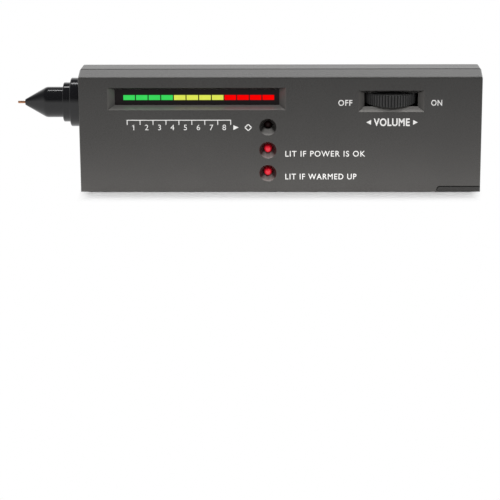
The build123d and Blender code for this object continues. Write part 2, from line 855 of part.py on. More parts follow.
# Buzzer leads, one from the ceramic and one from the disc's bare rim
buzzer_wire_radius = 0.4
buzzer_lead_spread = 2.0
buzzer_lead_mid_y = (ceramic_front_y + board_back_y) / 2
buzzer_lead_drop = 7.5
buzzer_lead_bend_share = 0.61
buzzer_lead_bend = buzzer_lead_bend_share * (ceramic_front_y - buzzer_lead_mid_y)
disc_lead_drop = (ceramic_radius + buzzer_radius) / 2
buzzer_lead_starts = [
    (sound_x - buzzer_lead_spread, ceramic_front_y, sound_z),
    (sound_x + buzzer_lead_spread, disc_front_y, sound_z - disc_lead_drop),
]
buzzer_lead_solids = []
for x, start_y, z in buzzer_lead_starts:
    buzzer_lead_solids.append(bent_wire(
        [
            (x, start_y, z),
            (x, buzzer_lead_mid_y, z),
            (x, buzzer_lead_mid_y, z - buzzer_lead_drop),
            (x, board_back_y, z - buzzer_lead_drop),
        ],
        buzzer_lead_bend, buzzer_wire_radius,
    ))
with BuildPart() as buzzer_leads:
    add(buzzer_lead_solids)
buzzer_leads.part.label = "buzzer_leads"
export_step(buzzer_leads.part, "parts/buzzer_leads.step")

# Battery body
with BuildPart() as battery:
    with BuildSketch(Plane.YZ.offset(battery_left_x)):
        with Locations((0, battery_mid_z)):
            RectangleRounded(battery_depth, battery_height, battery_corner_radius)
    extrude(amount=battery_length)
    fillet(battery.edges().group_by(Axis.X)[-1], battery_edge_radius)
    fillet(battery.edges().group_by(Axis.X)[0], battery_edge_radius)
battery.part.label = "battery"
export_step(battery.part, "parts/battery.step")

# Battery terminals: the narrow stud is positive and the wide one negative
snap_chamfer = 0.3
terminal_places = [
    (battery_mid_z + snap_spacing / 2, positive_snap_radius),
    (battery_mid_z - snap_spacing / 2, negative_snap_radius),
]
with BuildPart() as battery_terminals:
    for z, radius in terminal_places:
        with BuildSketch(Plane.YZ.offset(battery_left_x)):
            with Locations((0, z)):
                Circle(radius)
        extrude(amount=-snap_length)
    chamfer(battery_terminals.edges().group_by(Axis.X)[0], snap_chamfer)
battery_terminals.part.label = "battery_terminals"
export_step(battery_terminals.part, "parts/battery_terminals.step")

# Snap plate that clips over the terminals
snap_plate_margin_y = 2.0
snap_plate_margin_z = 0.8
snap_plate_radius = 3.0
with BuildPart() as battery_snap:
    with BuildSketch(Plane.YZ.offset(snap_left_x)):
        with Locations((0, battery_mid_z)):
            RectangleRounded(battery_depth - 2 * snap_plate_margin_y,
                             battery_height - 2 * snap_plate_margin_z, snap_plate_radius)
    extrude(amount=snap_plate_thickness)
    for z, radius in terminal_places:
        with BuildSketch(Plane.YZ.offset(battery_left_x - snap_length - fit_gap)):
            with Locations((0, z)):
                Circle(radius + fit_gap)
        extrude(amount=snap_length + fit_gap, mode=Mode.SUBTRACT)
battery_snap.part.label = "battery_snap"
export_step(battery_snap.part, "parts/battery_snap.step")

# Battery leads, from the snap plate to the board's right end
battery_wire_radius = 0.6
battery_lead_rise = 2.4
battery_lead_run = 3.0
battery_lead_bend = 1.6
battery_lead_offset = 7.0
battery_lead_y = board_back_y + battery_lead_rise
lead_heights = {
    "battery_lead_red": battery_mid_z + battery_lead_offset,
    "battery_lead_black": battery_mid_z - battery_lead_offset,
}
for name, z in lead_heights.items():
    wire = bent_wire(
        [
            (snap_left_x, battery_lead_y, z),
            (board_right_x - battery_lead_run, battery_lead_y, z),
            (board_right_x - battery_lead_run, board_back_y, z),
        ],
        battery_lead_bend, battery_wire_radius,
    )
    with BuildPart() as battery_lead:
        add(wire)
    battery_lead.part.label = name
    export_step(battery_lead.part, f"parts/{name}.step")

# Potentiometer board
with BuildPart() as dial_board:
    with BuildSketch(Plane.XY.offset(dial_board_z)):
        with Locations((dial_x, (dial_board_front_y + dial_board_back_y) / 2)):
            Rectangle(dial_board_length, dial_board_back_y - dial_board_front_y)
    extrude(amount=dial_board_thickness)
dial_board.part.label = "dial_board"
export_step(dial_board.part, "parts/dial_board.step")

# Potentiometer body under its board, bored for the dial's shaft
pot_rim_margin = 4.0
pot_gap = 0.4
pot_tab_width = 7.6
pot_tab_inset = 1.4
pot_radius = dial_radius - pot_rim_margin
pot_tab_reach = dial_board_back_y - dial_y - pot_tab_inset
rotor_radius = 2.4
rotor_head_gap = 1.1
rotor_top_z = dial_board_z - rotor_head_gap
pot_bottom_z = dial_top_z + pot_gap
with BuildPart() as dial_pot:
    with BuildSketch(Plane.XY.offset(pot_bottom_z)):
        with Locations((dial_x, dial_y)):
            Circle(pot_radius)
            Rectangle(pot_tab_width, pot_tab_reach, align=(Align.CENTER, Align.MIN))
    extrude(amount=dial_board_z - pot_bottom_z)
    with BuildSketch(Plane.XY.offset(pot_bottom_z)):
        with Locations((dial_x, dial_y)):
            Circle(rotor_radius + fit_gap)
    extrude(amount=rotor_top_z + fit_gap - pot_bottom_z, mode=Mode.SUBTRACT)
dial_pot.part.label = "dial_pot"
export_step(dial_pot.part, "parts/dial_pot.step")

# Shaft stub that carries the thumb wheel
dial_web = 1.2
dial_well_depth = 1.3
dial_well_radius = 2.3
dial_screw_radius = 0.8
dial_screw_head_radius = 1.7
dial_screw_head_height = 0.9
dial_screw_length = 4.0
rotor_bottom_z = dial_bottom_z + dial_well_depth + dial_web
with BuildPart() as dial_rotor:
    with BuildSketch(Plane.XY.offset(rotor_bottom_z)):
        with Locations((dial_x, dial_y)):
            Circle(rotor_radius)
    extrude(amount=rotor_top_z - rotor_bottom_z)
    with BuildSketch(Plane.XY.offset(rotor_bottom_z)):
        with Locations((dial_x, dial_y)):
            Circle(dial_screw_radius + thread_gap)
    extrude(amount=dial_screw_length - dial_web + fit_gap, mode=Mode.SUBTRACT)
dial_rotor.part.label = "dial_rotor"
export_step(dial_rotor.part, "parts/dial_rotor.step")

# Knurled thumb wheel
with BuildPart() as volume_dial:
    with BuildSketch(Plane.XY.offset(dial_bottom_z)):
        with Locations((dial_x, dial_y)):
            Circle(dial_radius)
    extrude(amount=dial_thickness)
    chamfer(volume_dial.edges(), dial_rim_chamfer)
    with BuildSketch(Plane.XY.offset(dial_bottom_z)):
        with Locations((dial_x, dial_y)):
            with PolarLocations(dial_radius, dial_knurls):
                Circle(dial_knurl_radius)
    extrude(amount=dial_thickness, mode=Mode.SUBTRACT)
    with BuildSketch(Plane.XY.offset(dial_bottom_z)):
        with Locations((dial_x, dial_y)):
            Circle(dial_well_radius)
    extrude(amount=dial_well_depth, mode=Mode.SUBTRACT)
    with BuildSketch(Plane.XY.offset(dial_bottom_z)):
        with Locations((dial_x, dial_y)):
            Circle(dial_screw_radius + fit_gap)
    extrude(amount=dial_thickness, mode=Mode.SUBTRACT)
    with BuildSketch(Plane.XY.offset(rotor_bottom_z)):
        with Locations((dial_x, dial_y)):
            Circle(rotor_radius + thread_gap)
    extrude(amount=dial_top_z - rotor_bottom_z, mode=Mode.SUBTRACT)
volume_dial.part.label = "volume_dial"
export_step(volume_dial.part, "parts/volume_dial.step")

# Screw that holds the wheel on its shaft, from below
dial_screw_seat_z = dial_bottom_z + dial_well_depth
with BuildPart() as dial_screw:
    with BuildSketch(Plane.XY.offset(dial_screw_seat_z - dial_screw_head_height)):
        with Locations((dial_x, dial_y)):
            Circle(dial_screw_head_radius)
    extrude(amount=dial_screw_head_height)
    with BuildSketch(Plane.XY.offset(dial_screw_seat_z)):
        with Locations((dial_x, dial_y)):
            Circle(dial_screw_radius)
    extrude(amount=dial_screw_length)
dial_screw.part.label = "dial_screw"
export_step(dial_screw.part, "parts/dial_screw.step")

# Three leads from the potentiometer board to the main board
dial_wire_radius = 0.5
dial_lead_count = 3
dial_lead_pitch_y = 1.2
dial_lead_pitch_z = 2.5
dial_lead_rise = 1.9
dial_lead_start_drop = 4.0
dial_lead_run = 7.5
dial_lead_board_inset = 1.4
dial_lead_bend = 1.3
dial_board_left_x = dial_x - dial_board_length / 2
dial_lead_solids = []
for step in range(dial_lead_count):
    lead_y = board_back_y + dial_lead_rise + step * dial_lead_pitch_y
    lead_z = board_top_z - dial_lead_start_drop - step * dial_lead_pitch_z
    lead_start_z = dial_board_z + dial_board_thickness / 2
    dial_lead_solids.append(bent_wire(
        [
            (dial_board_left_x, lead_y, lead_start_z),
            (dial_board_left_x - dial_lead_run, lead_y, lead_start_z),
            (board_right_x - dial_lead_board_inset, lead_y, lead_z),
            (board_right_x - dial_lead_board_inset, board_back_y, lead_z),
        ],
        dial_lead_bend, dial_wire_radius,
    ))
with BuildPart() as dial_leads:
    add(dial_lead_solids)
dial_leads.part.label = "dial_leads"
export_step(dial_leads.part, "parts/dial_leads.step")

# Battery door, cut from the same outside as the shells
plain_front_half = case_half(-1, grooved=False)
plain_back_half = case_half(1, grooved=False)
with BuildPart() as door_keep:
    with BuildSketch(Plane.XY.offset(-cut_over)):
        with Locations((door_foot_x, 0)):
            Rectangle(door_foot_length + cut_over, case_depth + cut_over, align=(Align.MIN, Align.CENTER))
    extrude(amount=door_foot_height + cut_over)
    fillet(door_keep.edges().filter_by(Axis.Y).group_by(Axis.X)[0].sort_by(Axis.Z)[-1], door_foot_radius)
    with BuildSketch(Plane.XY):
        with Locations((inner_end_x, 0)):
            Rectangle(wall + 2 * end_draft + cut_over, door_panel_width, align=(Align.MIN, Align.CENTER))
    extrude(amount=door_panel_top)
    with BuildSketch(Plane.XY.offset(door_foot_height)):
        with Locations((rail_start_x, panel_half - rail_thickness / 2),
                       (rail_start_x, rail_thickness / 2 - panel_half)):
            Rectangle(door_end_x - rail_start_x, rail_thickness, align=(Align.MIN, Align.CENTER))
    extrude(amount=rail_height)
    with BuildSketch(Plane.XY.offset(rail_lip_z)):
        with Locations((rail_start_x, panel_half + rail_lip_reach / 2),
                       (rail_start_x, -panel_half - rail_lip_reach / 2)):
            Rectangle(door_end_x - rail_start_x, rail_lip_reach, align=(Align.MIN, Align.CENTER))
    extrude(amount=rail_lip_height)
with BuildPart() as battery_door:
    add(plain_front_half)
    add(plain_back_half)
    add(door_keep.part, mode=Mode.INTERSECT)
battery_door.part.label = "battery_door"
export_step(battery_door.part, "parts/battery_door.step")

# Foam pad on the inside of the door
pad_margin_y = 2.0
pad_margin_z = 3.5
with BuildPart() as battery_pad:
    with BuildSketch(Plane.YZ.offset(inner_end_x - pad_thickness)):
        with Locations((0, battery_mid_z)):
            Rectangle(battery_depth - 2 * pad_margin_y, battery_height - 2 * pad_margin_z)
    extrude(amount=pad_thickness)
battery_pad.part.label = "battery_pad"
export_step(battery_pad.part, "parts/battery_pad.step")

# Probe flange and ring, both bored for the nose's spigot; distances run outwards from the end wall
flange_front = flange_length - flange_seat_depth
ring_front = flange_front + ring_length
flange_fillet = 0.5
ring_fillet = 0.4
with BuildPart() as probe_flange:
    with BuildSketch(probe_plane):
        with Locations((-flange_seat_depth, spigot_radius + fit_gap)):
            Rectangle(flange_length, flange_radius - spigot_radius - fit_gap, align=(Align.MIN, Align.MIN))
    revolve(axis=probe_axis)
    fillet(probe_flange.edges().group_by(Axis.X)[0].sort_by(SortBy.LENGTH)[-1], flange_fillet)
probe_flange.part.label = "probe_flange"
export_step(probe_flange.part, "parts/probe_flange.step")

with BuildPart() as probe_ring:
    with BuildSketch(probe_plane):
        with Locations((flange_front, spigot_radius + fit_gap)):
            Rectangle(ring_length, ring_radius - spigot_radius - fit_gap, align=(Align.MIN, Align.MIN))
    revolve(axis=probe_axis)
    fillet(probe_ring.edges().group_by(Axis.X)[0].sort_by(SortBy.LENGTH)[-1], ring_fillet)
probe_ring.part.label = "probe_ring"
export_step(probe_ring.part, "parts/probe_ring.step")

# Probe nose: barrel and cone outside, a pin hole, a spring bore and a sensor bore inside
tip_hole_gap = 0.07
spring_bore_radius = 1.5
holder_length = 8.5
spring_length = 5.7
shoulder_length = 0.8
shoulder_back = 3.75
nose_cone_start = ring_front + nose_barrel_length
nose_front = nose_cone_start + nose_cone_length
shoulder_front = nose_front - shoulder_back
spring_front = shoulder_front - shoulder_length
holder_front = spring_front - spring_length
stop_gap = 0.05
with BuildPart() as probe_nose:
    with BuildSketch(probe_plane):
        with BuildLine():
            Polyline(
                (-spigot_end_reach, nose_bore_radius),
                (-spigot_end_reach, spigot_radius),
                (ring_front, spigot_radius),
                (ring_front, nose_radius),
                (nose_cone_start, nose_radius),
                (nose_front, nose_end_radius),
                (nose_front, tip_radius + tip_hole_gap),
                (shoulder_front + stop_gap, tip_radius + tip_hole_gap),
                (shoulder_front + stop_gap, spring_bore_radius),
                (holder_front + stop_gap, spring_bore_radius),
                (holder_front + stop_gap, nose_bore_radius),
                close=True,
            )
        make_face()
    revolve(axis=probe_axis)
    fillet(probe_nose.edges().group_by(Axis.X)[0].sort_by(SortBy.LENGTH)[-1], nose_end_round)
    shoulder_edge = probe_nose.edges().filter_by(
        lambda edge: edge.geom_type == GeomType.CIRCLE and abs(edge.radius - nose_radius) < thread_gap)
    fillet(shoulder_edge.sort_by(Axis.X)[0], nose_shoulder_radius)
probe_nose.part.label = "probe_nose"
export_step(probe_nose.part, "parts/probe_nose.step")

# Nut that pulls the probe against the end wall from inside
nut_radius = 7.2
nut_thickness = 3.0
nut_sides = 6
with BuildPart() as probe_lock_nut:
    with BuildSketch(Plane.YZ.offset(-inner_end_x)):
        with Locations((0, probe_z)):
            RegularPolygon(nut_radius, nut_sides)
            Circle(spigot_radius + thread_gap, mode=Mode.SUBTRACT)
    extrude(amount=nut_thickness)
probe_lock_nut.part.label = "probe_lock_nut"
export_step(probe_lock_nut.part, "parts/probe_lock_nut.step")

# Sprung copper pin: a round end, a shoulder that stops it, and a tail in the sensor holder
shoulder_radius = 1.2
tail_radius = 0.4
tail_length = 7.3
with BuildPart() as probe_tip:
    with BuildSketch(probe_plane):
        with Locations((shoulder_front, 0)):
            Rectangle(nose_front + tip_reach - shoulder_front, tip_radius, align=(Align.MIN, Align.MIN))
        with Locations((spring_front, 0)):
            Rectangle(shoulder_length, shoulder_radius, align=(Align.MIN, Align.MIN))
        with Locations((spring_front - tail_length, 0)):
            Rectangle(tail_length, tail_radius, align=(Align.MIN, Align.MIN))
    revolve(axis=probe_axis)
    fillet(probe_tip.edges().group_by(Axis.X)[0], tip_radius / 2)
probe_tip.part.label = "probe_tip"
export_step(probe_tip.part, "parts/probe_tip.step")

# Spring behind the pin's shoulder
spring_radius = 1.05
spring_wire_radius = 0.12
spring_turns = 7
spring_end_gap = 0.04
spring_run = spring_length - 2 * (spring_wire_radius + spring_end_gap)
spring_back_x = probe_end_x - holder_front - spring_wire_radius - spring_end_gap
with BuildPart() as tip_spring:
    with BuildLine() as coil:
        Helix(pitch=spring_run / spring_turns, height=spring_run, radius=spring_radius,
              center=(spring_back_x, 0, probe_z), direction=(-1, 0, 0))
    with BuildSketch(Plane(origin=coil.line @ 0, z_dir=coil.line % 0)):
        Circle(spring_wire_radius)
    sweep(is_frenet=True)
tip_spring.part.label = "tip_spring"
export_step(tip_spring.part, "parts/tip_spring.step")

# Sensor holder, bored for the pin's tail
holder_bore_depth = tail_length - spring_length + tip_travel + slide_gap
with BuildPart() as tip_sensor_holder:
    with BuildSketch(probe_plane):
        with Locations((holder_front - holder_length, 0)):
            Rectangle(holder_length, nose_bore_radius - fit_gap, align=(Align.MIN, Align.MIN))
        with Locations((holder_front, 0)):
            Rectangle(holder_bore_depth, tail_radius + fit_gap, align=(Align.MAX, Align.MIN),
                      mode=Mode.SUBTRACT)
    revolve(axis=probe_axis)
tip_sensor_holder.part.label = "tip_sensor_holder"
export_step(tip_sensor_holder.part, "parts/tip_sensor_holder.step")

# Sensor wires, from the holder through the spigot to the back of the board
sensor_wire_radius = 0.35
sensor_wire_count = 3
sensor_wire_pitch = 1.5
sensor_wire_rise = 1.3
sensor_wire_reach = 9.0
sensor_wire_bend = 0.9
sensor_wire_y = board_back_y + sensor_wire_rise
sensor_start_x = probe_end_x - holder_front + holder_length
sensor_lead_solids = []
for step in range(sensor_wire_count):
    z = probe_z + (step - (sensor_wire_count - 1) / 2) * sensor_wire_pitch
    sensor_lead_solids.append(bent_wire(
        [
            (sensor_start_x, sensor_wire_y, z),
            (board_left_x + sensor_wire_reach, sensor_wire_y, z),
            (board_left_x + sensor_wire_reach, board_back_y, z),
        ],
        sensor_wire_bend, sensor_wire_radius,
    ))
with BuildPart() as sensor_leads:
    add(sensor_lead_solids)
sensor_leads.part.label = "sensor_leads"
export_step(sensor_leads.part, "parts/sensor_leads.step")
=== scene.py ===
"""Looks of the gem tester: materials, prints, camera, floor and light, in metres in the part's frame."""

import json
import math

import bpy
from mathutils import Matrix, Vector


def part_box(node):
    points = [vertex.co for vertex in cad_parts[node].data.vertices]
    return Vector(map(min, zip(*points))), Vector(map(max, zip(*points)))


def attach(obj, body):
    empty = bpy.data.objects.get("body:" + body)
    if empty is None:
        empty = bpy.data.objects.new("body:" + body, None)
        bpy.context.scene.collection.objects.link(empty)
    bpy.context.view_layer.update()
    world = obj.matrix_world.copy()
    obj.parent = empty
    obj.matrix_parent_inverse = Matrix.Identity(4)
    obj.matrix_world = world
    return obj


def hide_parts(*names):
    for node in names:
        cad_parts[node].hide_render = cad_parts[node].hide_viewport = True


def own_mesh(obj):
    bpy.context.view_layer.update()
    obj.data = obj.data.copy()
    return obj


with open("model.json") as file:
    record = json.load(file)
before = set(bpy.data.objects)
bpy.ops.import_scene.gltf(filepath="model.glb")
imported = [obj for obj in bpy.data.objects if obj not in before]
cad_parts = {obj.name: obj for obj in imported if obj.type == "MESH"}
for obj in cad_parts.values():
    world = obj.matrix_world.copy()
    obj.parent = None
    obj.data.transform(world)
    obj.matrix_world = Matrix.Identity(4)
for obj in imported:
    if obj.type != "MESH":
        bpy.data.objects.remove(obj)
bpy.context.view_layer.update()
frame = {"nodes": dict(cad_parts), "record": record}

nodes = frame["nodes"]
MM = 0.001
MICRON = 0.000001
WHITE = (1, 1, 1)

# Places read from the frame
front_low, front_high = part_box("front_shell")
_, back_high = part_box("back_shell")
FRONT_Y = front_low.y
BACK_Y = back_high.y
CASE_END = front_high.x
CASE_TOP = front_high.z

# The front shell's inner lip stands past the parting line by this much
LIP_HEIGHT = 1.2 * MM
SEAM_Y = front_high.y - LIP_HEIGHT


# Camera

CAMERA_DISTANCE = 0.850
CAMERA_ELEVATION = 14.24
CAMERA_X = 0.0064
CAMERA_TILT = 17.43
CAMERA_PAN = -1.27
CAMERA_ROLL = -0.36
CAMERA_LENS = 159.78
SENSOR_WIDTH = 36.0
AIM_HEIGHT = 0.023


def make_camera():
    """The camera of the photograph: far off, a little above, and aimed below the object."""
    data = bpy.data.cameras.new("camera")
    data.lens = CAMERA_LENS
    data.sensor_width = SENSOR_WIDTH
    camera = bpy.data.objects.new("camera", data)
    elevation = math.radians(CAMERA_ELEVATION)
    place = (CAMERA_X, -CAMERA_DISTANCE * math.cos(elevation),
             AIM_HEIGHT + CAMERA_DISTANCE * math.sin(elevation))
    pan = Matrix.Rotation(math.radians(-CAMERA_PAN), 4, "Z")
    tilt = Matrix.Rotation(math.radians(90 - CAMERA_TILT), 4, "X")
    roll = Matrix.Rotation(math.radians(CAMERA_ROLL), 4, "Z")
    camera.matrix_world = Matrix.Translation(place) @ pan @ tilt @ roll
    bpy.context.scene.collection.objects.link(camera)
    bpy.context.scene.camera = camera


# Material building blocks

# Most of the noise lies between these two
NOISE_LOW = 0.3
NOISE_HIGH = 0.7
# The agreement of the rounded normal with the flat one, on an edge and on a flat face
EDGE_AGREES = 0.80
FLAT_AGREES = 0.995
EDGE_SAMPLES = 6
CREVICE_SAMPLES = 8
# The sockets of a mix node: the factor and the two values, for numbers and for colours
NUMBER_SOCKETS = (0, 2, 3)
COLOUR_SOCKETS = (0, 6, 7)
NUMBER_RESULT = 0
COLOUR_RESULT = 2


class Graph:
    """A node tree, with short calls for the nodes in it."""

    def __init__(self, tree, output):
        self.tree = tree
        self.tree.nodes.clear()
        self.output = self.tree.nodes.new(output)

    def link(self, source, target):
        self.tree.links.new(source, target)

    def fill(self, socket, value):
        """Links the value where it is a socket, and else sets it; a colour is given without its alpha."""
        if isinstance(value, bpy.types.NodeSocket):
            self.link(value, socket)
        elif socket.type == "RGBA":
            socket.default_value = (*value, 1)
        else:
            socket.default_value = value

    def node(self, kind, **values):
        """A node of that kind, with its inputs set by name and its properties by attribute."""
        made = self.tree.nodes.new(kind)
        for name, value in values.items():
            socket = made.inputs.get(name.replace("_", " "))
            if socket is None:
                setattr(made, name, value)
            else:
                self.fill(socket, value)
        return made

    def math(self, operation, *values):
        """A calculation with numbers; each is a number or a socket."""
        made = self.node("ShaderNodeMath", operation=operation)
        for index, value in enumerate(values):
            self.fill(made.inputs[index], value)
        return made.outputs[0]

    def vector(self, operation, *values):
        """A calculation with vectors that gives a number."""
        made = self.node("ShaderNodeVectorMath", operation=operation)
        for index, value in enumerate(values):
            self.fill(made.inputs[index], value)
        return made.outputs["Value"]

    def parts(self, vector):
        """The X, Y and Z of a vector."""
        return self.node("ShaderNodeSeparateXYZ", Vector=vector).outputs

    def spread(self, value, low, high, from_low=NOISE_LOW, from_high=NOISE_HIGH):
        """The value moved from one range to another; the range of the noise is the usual first one."""
        made = self.node("ShaderNodeMapRange", Value=value, From_Min=from_low, From_Max=from_high,
                         To_Min=low, To_Max=high)
        return made.outputs["Result"]

    def rise(self, value, low, high):
        """0 up to the low value, and 1 from the high one."""
        return self.spread(value, 0.0, 1.0, low, high)

    def fall(self, value, low, high):
        """1 up to the low value, and 0 from the high one."""
        return self.spread(value, 1.0, 0.0, low, high)

    def mix(self, factor, first, second, blend="MIX"):
        """Two colours mixed by a factor; each is a colour or a socket."""
        made = self.node("ShaderNodeMix", data_type="RGBA", blend_type=blend)
        for index, value in zip(COLOUR_SOCKETS, (factor, first, second)):
            self.fill(made.inputs[index], value)
        return made.outputs[COLOUR_RESULT]

    def mix_numbers(self, factor, first, second):
        """Two numbers mixed by a factor; each is a number or a socket."""
        made = self.node("ShaderNodeMix")
        for index, value in zip(NUMBER_SOCKETS, (factor, first, second)):
            self.fill(made.inputs[index], value)
        return made.outputs[NUMBER_RESULT]

    def mix_shaders(self, factor, first, second):
        """Two shaders mixed by a factor."""
        made = self.node("ShaderNodeMixShader", Fac=factor)
        self.link(first, made.inputs[1])
        self.link(second, made.inputs[2])
        return made.outputs["Shader"]

    def seen_directly(self):
        """1 for rays from the camera, a mirror or glass, and 0 for those that only carry light."""
        path = self.node("ShaderNodeLightPath").outputs
        seen = self.math("MAXIMUM", path["Is Camera Ray"], path["Is Glossy Ray"])
        return self.math("MAXIMUM", seen, path["Is Transmission Ray"])


class Surface(Graph):
    """A material with a principled shader, and short calls for what feeds it."""

    def __init__(self, name, colour, roughness, metallic=0.0, **fixed):
        self.material = bpy.data.materials.new(name)
        self.material.use_nodes = True
        super().__init__(self.material.node_tree, "ShaderNodeOutputMaterial")
        self.shader = self.node("ShaderNodeBsdfPrincipled", Base_Color=colour, Roughness=roughness,
                                Metallic=metallic)
        for name, value in fixed.items():
            socket = name.replace("_", " ").title().replace("Ior", "IOR")
            self.shader.inputs[socket].default_value = value
        self.link(self.shader.outputs["BSDF"], self.output.inputs["Surface"])
        coordinates = self.node("ShaderNodeTexCoord").outputs
        self.place = coordinates["Object"]
        self.facing = coordinates["Normal"]

    def set(self, socket, value):
        self.link(value, self.shader.inputs[socket])

    def noise(self, scale, detail=4.0, stretch=(1, 1, 1), roughness=0.55):
        """Noise in object space, from 0 to 1; scale counts its features per metre."""
        place = self.node("ShaderNodeMapping", Vector=self.place, Scale=stretch)
        made = self.node("ShaderNodeTexNoise", Vector=place.outputs["Vector"], Scale=scale,
                         Detail=detail, Roughness=roughness)
        return made.outputs["Fac"]

    def from_axis(self, node, across):
        """The distance from the middle of a CAD node; across is 1 for the two directions that count."""
        low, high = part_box(node)
        offset = [-(a + b) / 2 * counts for a, b, counts in zip(low, high, across)]
        place = self.node("ShaderNodeMapping", Vector=self.place, Location=offset, Scale=across)
        return self.vector("LENGTH", place.outputs["Vector"])

    def bump(self, height, depth, edge=None):
        """A bump of that depth in metres, on sharp edges of the mesh rounded by that radius."""
        made = self.node("ShaderNodeBump", Strength=1.0, Distance=depth, Height=height)
        if edge is not None:
            self.link(self.soft_edges(edge), made.inputs["Normal"])
        self.set("Normal", made.outputs["Normal"])

    def soft_edges(self, radius):
        """A normal that rounds the sharp edges of the mesh."""
        return self.node("ShaderNodeBevel", samples=EDGE_SAMPLES, Radius=radius).outputs["Normal"]

    def edge_mask(self, radius):
        """About 1 on outer edges within the radius, and 0 on flat faces."""
        flat = self.node("ShaderNodeNewGeometry").outputs["Normal"]
        agreement = self.vector("DOT_PRODUCT", self.soft_edges(radius), flat)
        return self.fall(agreement, EDGE_AGREES, FLAT_AGREES)

    def shade_corners(self, tone, dark, share, reach, closed=0.15, clear=0.75):
        """Painted shade: the tone, with that share of the dark colour in gaps and corners within that
        reach, by how closed in they are.
        """
        openness = self.node("ShaderNodeAmbientOcclusion", samples=CREVICE_SAMPLES, Distance=reach)
        corner = self.fall(openness.outputs["AO"], closed, clear)
        return self.mix(self.math("MULTIPLY", corner, share), tone, dark)


def shade(colour, factor):
    """The colour made lighter or darker."""
    return tuple(min(1.0, part * factor) for part in colour)


# Moulded plastic: broad clouds, a fine grain, edges rubbed lighter, partly wear and partly a painted
# highlight, and painted shade in corners
CLOUD_SCALE = 60.0
CLOUD_DARK = 0.94
CLOUD_PALE = 1.06
GRAIN_SHARE = 0.35
GRAIN_SHADE = 0.80
WEAR_SCALE = 900.0
WEAR_LEAST = 0.05
WEAR_MOST = 0.25
WEAR_AND_HIGHLIGHT_SHADE = 1.6
GRAIN_SMOOTHER = 0.05
GRAIN_ROUGHER = 0.07
# Painted shade in corners and gaps: its reach, its share and its shade
CORNER_REACH = 0.4 * MM
CORNER_SHARE = 0.8
CORNER_SHADE = 0.1


def textured_plastic(name, colour, roughness, grain, depth, edge, **fixed):
    """Moulding with a fine grain, faint mottling and edges rubbed a little lighter, partly wear and partly
    a painted highlight, and its colour.
    """
    s = Surface(name, colour, roughness, **fixed)
    fine = s.noise(grain, detail=2.0)
    cloud = s.rise(s.noise(CLOUD_SCALE, detail=5.0), NOISE_LOW, NOISE_HIGH)
    tone = s.mix(cloud, shade(colour, CLOUD_DARK), shade(colour, CLOUD_PALE))
    tone = s.mix(s.spread(fine, 0.0, GRAIN_SHARE), tone, shade(colour, GRAIN_SHADE))
    # Edges rubbed lighter: partly wear, partly a painted highlight on the edges
    worn_and_highlit = s.math("MULTIPLY", s.edge_mask(edge), s.spread(s.noise(WEAR_SCALE), WEAR_LEAST, WEAR_MOST))
    tone = s.mix(worn_and_highlit, tone, shade(colour, WEAR_AND_HIGHLIGHT_SHADE))
    s.set("Roughness", s.spread(fine, roughness - GRAIN_SMOOTHER, roughness + GRAIN_ROUGHER))
    s.bump(fine, depth, edge)
    return s, tone


def moulded_plastic(name, colour, roughness, grain, depth, edge=0.15 * MM, **fixed):
    """Textured moulding with painted shade in its corners."""
    s, tone = textured_plastic(name, colour, roughness, grain, depth, edge, **fixed)
    # Painted shade in corners and gaps
    s.set("Base Color", s.shade_corners(tone, shade(colour, CORNER_SHADE), CORNER_SHARE, CORNER_REACH))
    return s.material


# The case's moulding
CASE_ROUGHNESS = 0.27
CASE_GRAIN = 6500.0
CASE_GRAIN_DEPTH = 6 * MICRON
CASE_EDGE = 0.07 * MM
CASE_SPECULAR = 0.36
# Painted light and shade by height: the case is paler at its foot and darker at its top
FOOT_PAINTED_LIGHT = 1.28
TOP_PAINTED_SHADE = 0.72
# The share of painted shade in the case's corners and gaps
CASE_CORNER_SHARE = 0.9
DARKEST = 0.05
# Its slopes, with light and shade painted by the way they face, and their roughness
LIT_BAR_SLOPE = 3.1
LIT_UPWARD_SLOPE = 4.9
LIT_SIDE_SLOPE = 2.0
SHADED_CONE_SIDE = 0.55
SHADED_DOWNWARD_SLOPE = 0.5
SLOPE_ROUGHNESS = 0.24
# Ranges of the Y part of a slope's normal, whichever way it points: where slopes start and end,
# where a cone's side turns into a window's side, and a bar window's lower slope into a cone's
SLOPE_STARTS = (0.10, 0.30)
SLOPE_ENDS = (0.72, 0.92)
CONE_TO_WINDOW = (0.48, 0.60)
BARS_TO_CONE = (0.41, 0.43)
# Ranges of its Z part
NOT_DOWN = (-0.5, -0.1)
TURNS_UP = (0.45, 0.80)
# Slopes lie at least this far in from the case's outer edges
SLOPE_INWARD = (0.8 * MM, 1.0 * MM)
# Painted shade along the parting line between the shells: its half width, its soft edge and its share
SEAM_HALF = 0.48 * MM
SEAM_SOFT = 0.05 * MM
SEAM_SHADE_SHARE = 0.95


def slope_mask(s, front):
    """1 on slopes round windows and holes, and 0 on flat faces and on the case's outer edges."""
    place = s.parts(s.place)
    leaning = s.math("MULTIPLY", s.rise(front, *SLOPE_STARTS), s.fall(front, *SLOPE_ENDS))
    below_top = s.math("SUBTRACT", CASE_TOP, place["Z"])
    from_end = s.math("SUBTRACT", CASE_END, s.math("ABSOLUTE", place["X"]))
    inward = s.math("MINIMUM", s.math("MINIMUM", below_top, place["Z"]), from_end)
    return s.math("MULTIPLY", leaning, s.rise(inward, *SLOPE_INWARD))


def painted_slope_light(s, colour, front):
    """A slope's colour with painted light and shade: palest where it faces up, and darkest where it faces
    down.
    """
    upward = s.parts(s.facing)["Z"]
    side = s.mix(s.rise(front, *CONE_TO_WINDOW), shade(colour, SHADED_CONE_SIDE), shade(colour, LIT_SIDE_SLOPE))
    slope = s.mix(s.rise(upward, *NOT_DOWN), shade(colour, SHADED_DOWNWARD_SLOPE), side)
    up = s.mix(s.rise(front, *BARS_TO_CONE), shade(colour, LIT_BAR_SLOPE), shade(colour, LIT_UPWARD_SLOPE))
    return s.mix(s.rise(upward, *TURNS_UP), slope, up)


